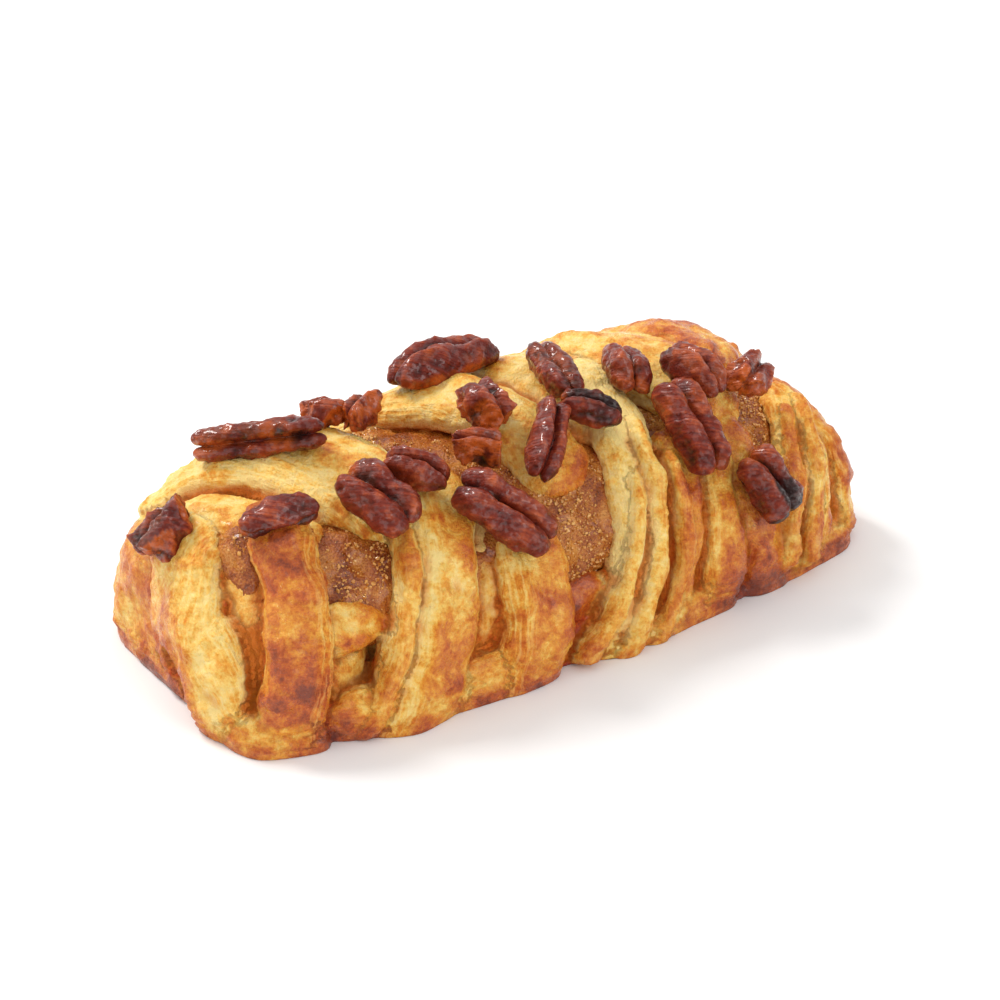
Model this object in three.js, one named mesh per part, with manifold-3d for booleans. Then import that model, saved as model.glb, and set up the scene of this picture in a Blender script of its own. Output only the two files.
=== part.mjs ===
// A danish plait: wide strips of laminated dough folded from both long sides over a sugar and
// nut filling, baked to a loaf and topped with pecan halves and pieces.
// Millimetres. X runs along the plait, Y across it with the nearer long side at -Y, Z is up,
// and the origin is on the table under the middle of the loaf.

import * as THREE from 'three';
import { mergeVertices } from 'three/addons/utils/BufferGeometryUtils.js';
import Module from 'manifold-3d';

const wasm = await Module();
wasm.setup();

// ---------------------------------------------------------------- driving sizes

const LOAF_HALF = 82; // half length of the loaf along X
const LOAF_WIDE = 40; // half width of the loaf
const LOAF_HIGH = 47.5; // height of the crown above the table
const LOAF_BACK = -2; // the crown line sits this far towards the near side
const SECTION_POWER = 2.3; // squareness of the loaf's cross section
const END_POWER = 4.5; // bluntness of the loaf's two ends
const END_WIDE = 0.25; // share of the width left at the very end
const END_HIGH = 0.18; // share of the height left at the very end
const STRIP_ROOT = -10.5; // depth of a strip's inner face below the loaf's outer skin
const STRIP_SQUARE = 3.1; // squareness of a strip's section below its widest level
const STRIP_ROUND = 2.3; // and above it, where the strip shows
const FILLING_DEPTH = 8; // the filling's surface lies this far below the loaf's skin
const FILLING_HALF = 70; // half length of the filling
const FILLING_MIDDLE = 17; // height of the filling's widest level
const FLOOR_THICK = 10; // thickness of the dough under the filling
const SLOT_LUMP = [-69, -11, 9, 12, 40]; // middle x and y, half length, half width, top
const CENTRE_SHIFT = [1.16, -0.06]; // brings the middle of the loaf, nuts included, over the origin
const SLIVER = 0.03; // edges and steps smaller than this are closed up after a join
const FIT_GAP = 0.3; // clearance between neighbouring pieces
const PUFF = 0.7; // how far the baked strips swell and sink along their length

const STRIP_AROUND = 12;
const STRIP_ALONG = 12;
const LEAF_AROUND = 8;
const LEAF_ALONG = 8;
const PECAN_AROUND = 12;
const PECAN_ALONG = 8;
const BREAKS = 5; // planes that a broken nut is torn off at

// ---------------------------------------------------------------- colours

const COLOURS = {
  dough: { color: 0xd9a65a, roughness: 0.55 },
  filling: { color: 0xa5692f, roughness: 0.6 },
  pecan: { color: 0x6e2f1a, roughness: 0.35 },
};

// ---------------------------------------------------------------- the loaf's skin

// The loaf is measured along its crown line, so that a strip keeps its width where the crown
// turns down over an end. This table turns a distance along the crown into X.
const CROWN_STEPS = 400;
const CROWN_BRINK = 97; // from this distance on, a strip is held back from the crown line's end
const crownLine = [];

function endScale(x) {
  const t = Math.min(Math.abs(x) / LOAF_HALF, 0.99995);
  return (1 - t ** END_POWER) ** (1 / END_POWER);
}

for (let i = 0, run = 0; i <= CROWN_STEPS; i += 1) {
  const x = LOAF_HALF * Math.sin((i / CROWN_STEPS) * Math.PI * 0.5);
  const z = LOAF_HIGH * endScale(x);
  if (i > 0) {
    const last = crownLine[i - 1];
    run += Math.hypot(x - last.x, 0.7 * (z - last.z));
  }
  crownLine.push({ run, x, z });
}

// Past the brink a distance is held back ever more, and never quite reaches the line's end.
function stationAt(run) {
  const past = Math.max(Math.abs(run) - CROWN_BRINK, 0);
  const room = 0.98 * (crownLine[CROWN_STEPS].run - CROWN_BRINK);
  const far = Math.min(Math.abs(run), CROWN_BRINK) + room * Math.tanh(past / room);
  let i = 1;
  while (i < CROWN_STEPS && crownLine[i].run < far) i += 1;
  const a = crownLine[i - 1];
  const b = crownLine[i];
  const share = Math.min((far - a.run) / (b.run - a.run), 1);
  return Math.sign(run) * (a.x + (b.x - a.x) * share);
}

// A point of the loaf's skin. turn is 0 at the near foot, 90 at the crown, 180 at the far foot.
function skinPoint(run, turn) {
  const x = stationAt(run);
  const scale = endScale(x);
  const wide = LOAF_WIDE * (END_WIDE + (1 - END_WIDE) * scale);
  const high = LOAF_HIGH * (END_HIGH + (1 - END_HIGH) * scale);
  const c = Math.cos(THREE.MathUtils.degToRad(turn));
  const s = Math.sin(THREE.MathUtils.degToRad(turn));
  const r = (Math.abs(c) ** SECTION_POWER + Math.abs(s) ** SECTION_POWER) ** (-1 / SECTION_POWER);
  return new THREE.Vector3(x, LOAF_BACK - wide * c * r, high * s * r);
}

function skinFrame(run, turn) {
  const point = skinPoint(run, turn);
  const along = skinPoint(run + 0.5, turn).sub(skinPoint(run - 0.5, turn));
  const across = skinPoint(run, turn + 1.5).sub(skinPoint(run, turn - 1.5));
  const normal = along.clone().cross(across).normalize();
  const heart = new THREE.Vector3(point.x * 0.9, LOAF_BACK, 0);
  if (normal.dot(point.clone().sub(heart)) < 0) normal.negate();
  const perDegree = across.length() / 3;
  along.normalize();
  return { point, normal, along, perDegree };
}

// ---------------------------------------------------------------- helpers

// A smooth run through three values, at the start, the middle and the end.
function through(values, t) {
  const [a, b, c] = values;
  return a * (1 - t) * (1 - 2 * t) + 4 * b * t * (1 - t) + c * t * (2 * t - 1);
}

function signedPower(value, power) {
  return Math.sign(value) * Math.abs(value) ** power;
}

// Small repeatable bumps: a few crossing waves whose phases come from the seed.
function bumps(seed, a, b) {
  const one = Math.sin(a * 5.1 + seed * 2.3 + Math.sin(b * 1.7 + seed));
  const two = Math.sin(a * 9.7 - b * 2.9 + seed * 4.1);
  const three = Math.sin(b * 4.3 + a * 2.2 + seed * 1.3);
  return 0.5 * one + 0.25 * two + 0.35 * three;
}

// A geometry with only its corner points, each of them held once.
function cornersOnly(geometry) {
  geometry.deleteAttribute('normal');
  geometry.deleteAttribute('uv');
  return mergeVertices(geometry, 1e-5);
}

// Reshapes a unit sphere: place(t, q) gets the share of the way from pole to pole and the
// angle around, and returns the point there.
function reshapeSphere(around, along, place) {
  const sphere = cornersOnly(new THREE.SphereGeometry(1, around, along));
  const spots = sphere.attributes.position;
  const v = new THREE.Vector3();
  for (let i = 0; i < spots.count; i += 1) {
    v.fromBufferAttribute(spots, i);
    const t = Math.acos(THREE.MathUtils.clamp(v.y, -1, 1)) / Math.PI;
    const q = Math.hypot(v.x, v.z) < 1e-4 ? 0 : Math.atan2(v.z, v.x);
    const p = place(t, q);
    spots.setXYZ(i, p.x, p.y, p.z);
  }
  return sphere;
}

function toSolid(geometry) {
  const index = Array.from(geometry.index.array);
  const make = () => new wasm.Manifold(new wasm.Mesh({
    numProp: 3,
    vertProperties: new Float32Array(geometry.attributes.position.array),
    triVerts: new Uint32Array(index),
  }));
  const solid = make();
  if (solid.volume() >= 0) return solid;
  for (let i = 0; i < index.length; i += 3) [index[i], index[i + 1]] = [index[i + 1], index[i]];
  return make();
}

function toGeometry(solid) {
  const mesh = solid.getMesh();
  const geometry = new THREE.BufferGeometry();
  geometry.setAttribute('position', new THREE.BufferAttribute(new Float32Array(mesh.vertProperties), 3));
  geometry.setIndex(new THREE.BufferAttribute(new Uint32Array(mesh.triVerts), 1));
  geometry.computeVertexNormals();
  return geometry;
}

// The largest body of a joined or cut solid, without the slivers the cut left on it.
function largest(solid) {
  const body = solid.decompose().reduce((best, next) => (next.volume() > best.volume() ? next : best));
  return body.simplify(SLIVER);
}

// ---------------------------------------------------------------- strips of dough

// Each strip runs over the loaf's skin from its foot to its tip. A spot on the skin is given
// as [distance along the crown, turn around the loaf]. wide and rise hold the strip's width
// and how far its face stands off the skin, at the foot, the middle and the tip.
const STRIPS = [
  // the near end's strip, split in two lobes with a sheet sunk between them
  { foot: [-91, -8], mid: [-98, 64], tip: [-74, 92], wide: [26, 34, 18], rise: [3.5, 4.5, 1] },
  { foot: [-78, -10], mid: [-70, 37], tip: [-62, 80], wide: [20, 16, 13], rise: [1, 1.8, 0.5] },
  { foot: [-80, -6], mid: [-80, 20], tip: [-79, 48], wide: [14, 14, 13], rise: [-1, -4, -5] },
  // the first far strip, two bands side by side
  { foot: [-80, 188], mid: [-51, 112], tip: [-36, 50], wide: [26, 33, 16], rise: [0, 1, -5] },
  { foot: [-96, 162], mid: [-75, 98], tip: [-56, 60], wide: [24, 19, 13], rise: [-3, -1.5, -5] },
  // the second near strip
  { foot: [-52, -10], mid: [-38, 26], tip: [-24, 78], wide: [22, 21, 14], rise: [2, 2, -4] },
  { foot: [-24, -10], mid: [-14, 20], tip: [-13, 56], wide: [22, 17, 13], rise: [2, 1.5, -4] },
  { foot: [-34, -4], mid: [-26, 26], tip: [-21, 58], wide: [16, 13, 11], rise: [-2, -3.5, -6] },
  // the second far strip, two bands
  { foot: [-27, 188], mid: [-6, 112], tip: [3, 46], wide: [24, 24, 17], rise: [0, 1.5, -4] },
  { foot: [-8, 188], mid: [13, 112], tip: [17, 60], wide: [22, 24, 13], rise: [0, 1, -4] },
  // the third near strip, with a narrow ridge beside its broad lobe
  { foot: [-1, -10], mid: [15, 32], tip: [26, 108], wide: [22, 15, 13], rise: [1.2, 0.4, 0] },
  { foot: [15, -10], mid: [25, 20], tip: [31, 58], wide: [11, 9, 9], rise: [1, 0.5, -2] },
  { foot: [31, -10], mid: [37, 22], tip: [41, 58], wide: [16, 13, 11], rise: [-2, -0.5, -4] },
  { foot: [27, -2], mid: [31, 22], tip: [36, 50], wide: [9, 9, 9], rise: [-3, -3.5, -5] },
  // the third far strip, two bands
  { foot: [14, 188], mid: [36, 112], tip: [48, 50], wide: [26, 27, 15], rise: [0, 1.5, -3] },
  { foot: [38, 188], mid: [55, 112], tip: [61, 80], wide: [24, 22, 15], rise: [0, 0.5, -3] },
  // the fourth near strip and the wrap of the right end
  { foot: [50, -10], mid: [48, 22], tip: [47, 60], wide: [16, 14, 11], rise: [-2, -1, -4] },
  { foot: [62, -10], mid: [66, 24], tip: [74, 68], wide: [24, 21, 16], rise: [-3, -1.5, -3] },
  { foot: [92, -10], mid: [92, 40], tip: [82, 92], wide: [30, 28, 22], rise: [1, 1.5, -5] },
  { foot: [66, 188], mid: [76, 122], tip: [79, 86], wide: [26, 25, 19], rise: [-1, -3, -5] },
];

// Short tongues of dough that close the gaps between the near strips towards the base, and the
// feet where each near strip's ridges meet.
const TONGUES = [
  { foot: [-70, 30], mid: [-58, 31], tip: [-47, 28], wide: [18, 13, 4], rise: [-3.5, -2.5, -4.5] },
  { foot: [-62, 3], mid: [-53, 4], tip: [-44, 2], wide: [16, 15, 14], rise: [-1, -1, -2] },
  { foot: [-12, 8], mid: [-4, 14], tip: [6, 20], wide: [16, 14, 10], rise: [-2, -3, -4] },
  { foot: [-94, 5], mid: [-84, 3], tip: [-66, 4], wide: [14, 17, 15], rise: [1.5, 2.4, 1.2] },
  { foot: [-68, 6], mid: [-40, 2], tip: [-11, 3], wide: [14, 18, 15], rise: [-1.5, 1.2, 0.2] },
  { foot: [-5, 2], mid: [16, 1], tip: [40, 3], wide: [13, 15, 13], rise: [0, 1, -0.8] },
  { foot: [45, 3], mid: [66, 2], tip: [93, 3], wide: [11, 14, 16], rise: [-2.5, -1.5, 0.5] },
];

// Narrow leaves of dough that have lifted: a fan over the third near strip's foot, one on the
// flank of the second near strip, and two on the flank of the right end's wrap.
const LEAVES = [
  { foot: [-7, 2], mid: [6, 16], tip: [17, 50], wide: [5, 6, 4], rise: [2, 2.4, 1] },
  { foot: [1, -3], mid: [13, 14], tip: [22, 64], wide: [6, 7, 5], rise: [2.8, 3.2, 1.6] },
  { foot: [10, -5], mid: [20, 12], tip: [27, 50], wide: [6, 6, 4], rise: [2.4, 2.2, 1] },
  { foot: [-61, 0], mid: [-49, 20], tip: [-38, 56], wide: [6, 6, 4], rise: [1.2, 1.8, 0.6] },
  { foot: [51, 2], mid: [58, 22], tip: [66, 56], wide: [6, 6, 4], rise: [-1.6, 0, -1.6] },
  { foot: [60, 1], mid: [65, 24], tip: [71, 60], wide: [6, 6, 5], rise: [-1.2, 0.6, -1] },
];

function stripGeometry(strip, seed, around = STRIP_AROUND, steps = STRIP_ALONG) {
  const flip = strip.tip[1] < strip.foot[1] ? -1 : 1;
  return reshapeSphere(around, steps, (pole, angle) => {
    const t = pole - 0.12 * Math.sin(2 * Math.PI * pole);
    const q = angle + 0.4 * Math.cos(angle);
    const taper = Math.max(1 - Math.abs(2 * t - 1) ** 8, 0) ** 0.25;
    const run = through([strip.foot[0], strip.mid[0], strip.tip[0]], t);
    const turn = through([strip.foot[1], strip.mid[1], strip.tip[1]], t);
    const step = 0.01;
    const ahead = Math.min(t + step, 1);
    const behind = Math.max(t - step, 0);
    const frame = skinFrame(run, turn);
    const dRun = through([strip.foot[0], strip.mid[0], strip.tip[0]], ahead)
      - through([strip.foot[0], strip.mid[0], strip.tip[0]], behind);
    const dTurn = (through([strip.foot[1], strip.mid[1], strip.tip[1]], ahead)
      - through([strip.foot[1], strip.mid[1], strip.tip[1]], behind)) * frame.perDegree;
    const size = Math.hypot(dRun, dTurn);
    const swell = 1 + 0.05 * bumps(seed + 7, t * 2, 0);
    const power = 2 / (Math.sin(q) > 0 ? STRIP_ROUND : STRIP_SQUARE);
    const side = 0.5 * through(strip.wide, t) * swell * taper * signedPower(Math.cos(q), power);
    const face = through(strip.rise, t);
    const middle = 0.5 * (face + STRIP_ROOT);
    const deep = 0.5 * (face - STRIP_ROOT) * taper;
    const puff = Math.sin(q) > 0 ? PUFF * bumps(seed, t * 1.6, side * 0.12) * Math.sin(q) : 0;
    const off = middle + deep * signedPower(Math.sin(q), power) + puff * taper;
    const sideRun = run + (flip * side * dTurn) / size;
    const sideTurn = turn - (flip * side * dRun) / size / Math.max(frame.perDegree, 0.2);
    const spot = skinFrame(sideRun, sideTurn);
    return spot.point.addScaledVector(spot.normal, off);
  });
}

// ---------------------------------------------------------------- base, ends and filling

// A mound with a rounded section standing on the table, centred at (x, y).
function moundGeometry(x, y, halfLong, halfWide, high, around, along, power = 2.6) {
  return reshapeSphere(around, along, (pole, angle) => {
    const a = Math.PI * pole;
    const length = signedPower(Math.cos(a), 2 / 3.2);
    const girth = Math.sin(a) ** (2 / 3.2);
    const wide = signedPower(Math.cos(angle), 2 / power);
    const tall = signedPower(Math.sin(angle), 2 / power);
    return new THREE.Vector3(x + halfLong * length, y + halfWide * girth * wide, high * girth * tall);
  });
}

const tray = toSolid(moundGeometry(0, LOAF_BACK, 80, 38.5, 15, 18, 12));
const leftEnd = toSolid(moundGeometry(-64, 1, 18, 35, 36, 16, 10));
const rightEnd = toSolid(moundGeometry(64, 0, 18, 34, 31, 16, 10));
const leftPad = toSolid(moundGeometry(-69.4, 11.6, 12.3, 20, 29, 14, 8));

function fillingGeometry(grow) {
  const wide = LOAF_WIDE - FILLING_DEPTH;
  return reshapeSphere(22, 18, (pole, angle) => {
    const a = Math.PI * pole;
    const length = signedPower(Math.cos(a), 2 / 4);
    const girth = Math.sin(a) ** (2 / 5);
    const y = signedPower(Math.cos(angle), 2 / SECTION_POWER);
    const z = signedPower(Math.sin(angle), 2 / SECTION_POWER);
    const reach = z > 0 ? LOAF_HIGH - FILLING_DEPTH - FILLING_MIDDLE : FILLING_MIDDLE - FLOOR_THICK;
    const lump = 1 + 0.025 * bumps(3, length * 9, angle * 2);
    return new THREE.Vector3(
      (FILLING_HALF + grow) * length,
      LOAF_BACK + (wide * lump + grow) * girth * y,
      FILLING_MIDDLE + (reach * lump + grow) * girth * z,
    );
  });
}

// The filling pushes up into the slot of the near end's strip: half a mound with a flat floor.
function slotLumpGeometry(grow) {
  const [x, y, halfLong, halfWide, high] = SLOT_LUMP;
  const floor = FILLING_MIDDLE - grow;
  return reshapeSphere(14, 9, (pole, angle) => {
    const length = Math.cos(Math.PI * pole);
    const girth = Math.sin(Math.PI * pole) ** 0.8;
    return new THREE.Vector3(
      x + (halfLong + grow) * length,
      y + (halfWide + grow) * girth * Math.cos(angle),
      floor + (high + grow - floor) * girth * Math.max(Math.sin(angle), 0),
    );
  });
}

const table = toSolid(cornersOnly(new THREE.BoxGeometry(400, 400, 100).translate(0, 0, -50)));

let doughSolid = tray.add(leftEnd).add(leftPad).add(rightEnd);
[...STRIPS, ...TONGUES].forEach((strip, i) => {
  doughSolid = doughSolid.add(toSolid(stripGeometry(strip, i + 1)));
});
LEAVES.forEach((leaf, i) => {
  doughSolid = doughSolid.add(toSolid(stripGeometry(leaf, i + 31, LEAF_AROUND, LEAF_ALONG)));
});
doughSolid = doughSolid.subtract(table);
const hollow = toSolid(fillingGeometry(FIT_GAP)).add(toSolid(slotLumpGeometry(FIT_GAP)));
doughSolid = largest(doughSolid.subtract(hollow));
const fillingSolid = largest(toSolid(fillingGeometry(0)).add(toSolid(slotLumpGeometry(0))));

// ---------------------------------------------------------------- pecans

// at: the spot on the skin; heading: the turn of the long axis from the crown line; lift: how
// far the nut's middle stands off the skin; roll tips it about its long axis; from and to are
// the shares of the whole half that a piece keeps; a broken one is torn off at a few planes.
const PECANS = [
  {
    at: [-80, 96], heading: -13, long: 17, wide: 12, high: 9,
    lift: 3, roll: 165, from: 0, to: 0.75, broken: true,
  },
  {
    at: [-64, 67], heading: -14, long: 18, wide: 9, high: 7,
    lift: 3.5, roll: -70, from: 0, to: 0.85, broken: false,
  },
  {
    at: [-54, 101], heading: -42, long: 29, wide: 11, high: 9,
    lift: 4, roll: -105, from: 0, to: 1, broken: false,
  },
  {
    at: [-37, 106], heading: -40, long: 11, wide: 9, high: 7,
    lift: 3, roll: 0, from: 0.1, to: 0.6, broken: true,
  },
  {
    at: [-30, 99], heading: 20, long: 11, wide: 9, high: 7,
    lift: 3, roll: 0, from: 0.3, to: 0.9, broken: true,
  },
  {
    at: [-44, 60], heading: -67, long: 18, wide: 14, high: 9,
    lift: 3.5, roll: 0, from: 0, to: 0.8, broken: false,
  },
  {
    at: [-33, 64], heading: -46, long: 14, wide: 9, high: 8,
    lift: 3.5, roll: 0, from: 0, to: 0.7, broken: false,
  },
  {
    at: [-19, 46], heading: -50, long: 24, wide: 14, high: 10,
    lift: 4, roll: 0, from: 0, to: 1, broken: false,
  },
  {
    at: [-3, 110], heading: -1, long: 27, wide: 13, high: 9,
    lift: 5, roll: 0, from: 0, to: 1, broken: false,
  },
  {
    at: [-8, 77], heading: -88, long: 14, wide: 12, high: 9,
    lift: 3.5, roll: 0, from: 0.1, to: 0.6, broken: true,
  },
  {
    at: [-17, 66], heading: -33, long: 14, wide: 8, high: 7,
    lift: 3, roll: 0, from: 0.2, to: 0.8, broken: true,
  },
  {
    at: [-1, 61], heading: 49, long: 22, wide: 9.5, high: 8.5,
    lift: 3.5, roll: 10, from: 0, to: 1, broken: false,
  },
  {
    at: [13, 84], heading: -104, long: 21, wide: 9.5, high: 7.5,
    lift: 4, roll: 180, from: 0, to: 0.9, broken: false,
  },
  {
    at: [12, 65], heading: -40, long: 14, wide: 7.5, high: 7,
    lift: 4.5, roll: 0, from: 0.2, to: 0.8, broken: false,
  },
  {
    at: [28, 76], heading: 73, long: 13.5, wide: 10.5, high: 8,
    lift: 3.5, roll: 0, from: 0, to: 0.8, broken: false,
  },
  {
    at: [42, 68], heading: -74, long: 16, wide: 11, high: 8.5,
    lift: 3.5, roll: 0, from: 0, to: 0.7, broken: false,
  },
  {
    at: [33, 52], heading: -88, long: 23, wide: 14, high: 10,
    lift: 4, roll: 0, from: 0, to: 1, broken: false,
  },
  {
    at: [55, 62], heading: 28, long: 14, wide: 11, high: 8,
    lift: 3, roll: 0, from: 0.1, to: 0.7, broken: true,
  },
  {
    at: [47, 32], heading: -66, long: 17, wide: 13, high: 9,
    lift: 3.5, roll: 0, from: 0.1, to: 0.9, broken: false,
  },
  // the hidden far slope carries its share of nuts too
  {
    at: [-46, 160], heading: 35, long: 24, wide: 13, high: 9,
    lift: 4, roll: 0, from: 0, to: 1, broken: false,
  },
  {
    at: [-2, 166], heading: -20, long: 18, wide: 12, high: 9,
    lift: 3.5, roll: 0, from: 0, to: 0.75, broken: false,
  },
  {
    at: [38, 162], heading: 60, long: 24, wide: 13, high: 9,
    lift: 4, roll: 0, from: 0, to: 1, broken: false,
  },
];

// A broken nut is flattened against a few planes, where it tore.
function breakOff(point, nut, seed) {
  for (let k = 0; k < BREAKS; k += 1) {
    const around = seed * 1.7 + k * 2.4;
    const rise = 0.5 * Math.sin(seed * 3.1 + k * 5.3);
    const level = Math.cos(rise);
    const facing = new THREE.Vector3(Math.cos(around) * level, Math.sin(around) * level, Math.sin(rise));
    const half = Math.hypot(nut.long * facing.x, nut.wide * facing.y, nut.high * facing.z) / 2;
    const past = point.dot(facing) - (0.7 + 0.1 * Math.sin(seed * 2 + k * 3.7)) * half;
    if (past > 0) point.addScaledVector(facing, -0.9 * past);
  }
  return point;
}

// A pecan half: two rounded lobes with a deep furrow between them on its back, and a rim round
// a shallow hollow on its belly.
function pecanGeometry(nut, seed) {
  return reshapeSphere(PECAN_AROUND, PECAN_ALONG, (pole, angle) => {
    const a = Math.PI * pole;
    const length = Math.cos(a);
    const share = nut.from + (nut.to - nut.from) * 0.5 * (1 - length);
    const girth = Math.max(Math.sin(a), 0) ** 0.55;
    const whole = Math.sin(Math.PI * (0.08 + 0.84 * share)) ** 0.4;
    const up = Math.sin(angle);
    const across = signedPower(Math.cos(angle), 0.8);
    const ridge = 1 + 0.07 * bumps(seed, share * 4.2, angle * 1.3);
    const lobe = Math.sqrt(Math.max(1 - ((Math.abs(across) - 0.5) / 0.57) ** 2, 0));
    const furrow = Math.exp(-((across / 0.2) ** 2));
    const rim = Math.exp(-(((Math.abs(across) - 0.72) / 0.3) ** 2));
    const back = (0.2 + 0.8 * lobe) * (1 - 0.3 * furrow);
    const belly = 0.3 + 0.5 * rim;
    const tall = 0.62 * (up > 0 ? back : belly);
    const point = new THREE.Vector3(
      0.5 * nut.long * length * (1 - 0.13 * furrow),
      0.5 * nut.wide * girth * whole * across * ridge,
      nut.high * girth * (0.3 + 0.7 * whole) * signedPower(up, 0.7) * tall * ridge,
    );
    return nut.broken ? breakOff(point, nut, seed) : point;
  });
}

function pecanFrame(nut) {
  const frame = skinFrame(nut.at[0], nut.at[1]);
  const up = frame.normal.clone();
  const along = frame.along.clone().addScaledVector(up, -frame.along.dot(up)).normalize();
  const basis = new THREE.Matrix4().makeBasis(along, up.clone().cross(along), up);
  const tip = new THREE.Matrix4().makeRotationZ(THREE.MathUtils.degToRad(nut.heading));
  tip.multiply(new THREE.Matrix4().makeRotationX(THREE.MathUtils.degToRad(nut.roll)));
  basis.multiply(tip);
  basis.setPosition(frame.point.clone().addScaledVector(up, nut.lift));
  return { matrix: basis, up };
}

// ---------------------------------------------------------------- the whole plait

const group = new THREE.Group();
group.position.set(CENTRE_SHIFT[0], CENTRE_SHIFT[1], 0);

function addMesh(name, geometry, look) {
  const mesh = new THREE.Mesh(geometry, new THREE.MeshStandardMaterial({ ...look, metalness: 0 }));
  mesh.name = name;
  group.add(mesh);
  return mesh;
}

addMesh('dough', toGeometry(doughSolid), COLOURS.dough);
addMesh('filling', toGeometry(fillingSolid), COLOURS.filling);

const placedNuts = [];

PECANS.forEach((nut, i) => {
  const { matrix, up } = pecanFrame(nut);
  const own = pecanGeometry(nut, i + 1).applyMatrix4(matrix);
  const under = toGeometry(doughSolid).translate(up.x * FIT_GAP, up.y * FIT_GAP, up.z * FIT_GAP);
  let solid = toSolid(own).subtract(toSolid(under));
  placedNuts.forEach((other) => { solid = solid.subtract(other); });
  solid = largest(solid);
  const grown = pecanGeometry(nut, i + 1);
  grown.scale(1 + (2 * FIT_GAP) / nut.long, 1 + (2 * FIT_GAP) / nut.wide, 1 + (3 * FIT_GAP) / nut.high);
  placedNuts.push(toSolid(grown.applyMatrix4(matrix)));
  const geometry = toGeometry(solid).applyMatrix4(matrix.clone().invert());
  const mesh = addMesh(`pecan_${String(i + 1).padStart(2, '0')}`, geometry, COLOURS.pecan);
  matrix.decompose(mesh.position, mesh.quaternion, mesh.scale);
});

export default group;
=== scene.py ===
"""A danish plait with pecans: strips of laminated dough over a sugar and nut filling."""

import logging
import math
from dataclasses import dataclass, field
from enum import Enum, IntEnum

import bpy
import numpy as np
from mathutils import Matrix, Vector
from mathutils.bvhtree import BVHTree


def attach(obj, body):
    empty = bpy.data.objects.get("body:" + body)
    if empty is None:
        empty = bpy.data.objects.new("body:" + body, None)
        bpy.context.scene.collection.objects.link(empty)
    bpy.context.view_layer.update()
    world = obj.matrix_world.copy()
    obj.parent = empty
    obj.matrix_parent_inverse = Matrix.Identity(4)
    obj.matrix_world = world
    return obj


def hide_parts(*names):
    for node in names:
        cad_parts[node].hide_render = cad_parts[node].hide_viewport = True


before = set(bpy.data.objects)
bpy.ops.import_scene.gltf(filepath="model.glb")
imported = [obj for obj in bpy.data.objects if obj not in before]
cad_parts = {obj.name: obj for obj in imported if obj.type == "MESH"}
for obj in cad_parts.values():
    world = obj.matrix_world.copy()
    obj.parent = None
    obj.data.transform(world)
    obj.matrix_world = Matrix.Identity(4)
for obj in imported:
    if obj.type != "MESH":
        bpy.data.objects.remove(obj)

logging.basicConfig(level=logging.INFO, format="%(message)s")
LOG = logging.getLogger("plait")

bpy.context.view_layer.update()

MM = 0.001
TINY = 1e-12  # keeps a division from meeting zero
# The same shift as the solids': it brings the middle of the loaf over the origin.
CENTRE_SHIFT = np.array([1.16, -0.06, 0.0])


# ---------------------------------------------------------------- numbers and noise


def smoothstep(low: float, high: float, value: np.ndarray) -> np.ndarray:
    """Ease from 0 at low to 1 at high, for each value."""
    t = np.clip((value - low) / (high - low), 0.0, 1.0)
    return t * t * (3.0 - 2.0 * t)


def signed_power(value: np.ndarray, power: float) -> np.ndarray:
    """Raise the size of each value to a power and keep its sign."""
    return np.sign(value) * np.abs(value) ** power


def through(values: tuple[float, float, float], t: np.ndarray) -> np.ndarray:
    """Run smoothly through three values, at the start, the middle and the end of t's 0 to 1."""
    a, b, c = values
    return a * (1 - t) * (1 - 2 * t) + 4 * b * t * (1 - t) + c * t * (2 * t - 1)


def bumps(seed: float, a: np.ndarray, b: np.ndarray) -> np.ndarray:
    """Cross a few waves whose phases come from the seed, as the solids do.

    Args:
        seed: Picks the phases.
        a: First coordinate.
        b: Second coordinate.

    Returns:
        A value of about -1 to 1 at each point.
    """
    one = np.sin(a * 5.1 + seed * 2.3 + np.sin(b * 1.7 + seed))
    two = np.sin(a * 9.7 - b * 2.9 + seed * 4.1)
    three = np.sin(b * 4.3 + a * 2.2 + seed * 1.3)
    return 0.5 * one + 0.25 * two + 0.35 * three


@dataclass
class GrainField:
    """Smooth seeded noise in space."""

    seed: int
    cells: int = 64
    octave_shift: float = 17.3
    gain: float = 1.4  # brings the sum of the sizes back to about -1 to 1
    table: np.ndarray = field(init=False)

    def __post_init__(self) -> None:
        """Draw the table of lattice values."""
        self.table = np.random.default_rng(self.seed).random((self.cells,) * 3) * 2.0 - 1.0

    def at(self, points: np.ndarray, size: float) -> np.ndarray:
        """Sample the noise.

        Args:
            points: Points in mm, one row each.
            size: Size of one bump in mm.

        Returns:
            Values from -1 to 1.
        """
        p = points / size
        base = np.floor(p).astype(int)
        f = p - base
        f = f * f * (3.0 - 2.0 * f)
        total = np.zeros(len(points))
        for corner in range(8):
            step = np.array([corner & 1, (corner >> 1) & 1, (corner >> 2) & 1])
            share = np.prod(np.where(step, f, 1.0 - f), axis=1)
            cell = (base + step) % self.cells
            total += share * self.table[cell[:, 0], cell[:, 1], cell[:, 2]]
        return total

    def rough(self, points: np.ndarray, size: float, octaves: int = 3) -> np.ndarray:
        """Sum the noise at halving sizes.

        Args:
            points: Points in mm.
            size: Size of the largest bump in mm.
            octaves: How many sizes are summed.

        Returns:
            Values of about -1 to 1.
        """
        total = np.zeros(len(points))
        weight = 0.0
        for k in range(octaves):
            share = 0.5**k
            total += share * self.at(points + self.octave_shift * k, size * share)
            weight += share
        return total / weight * self.gain


# ---------------------------------------------------------------- the loaf's skin


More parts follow.
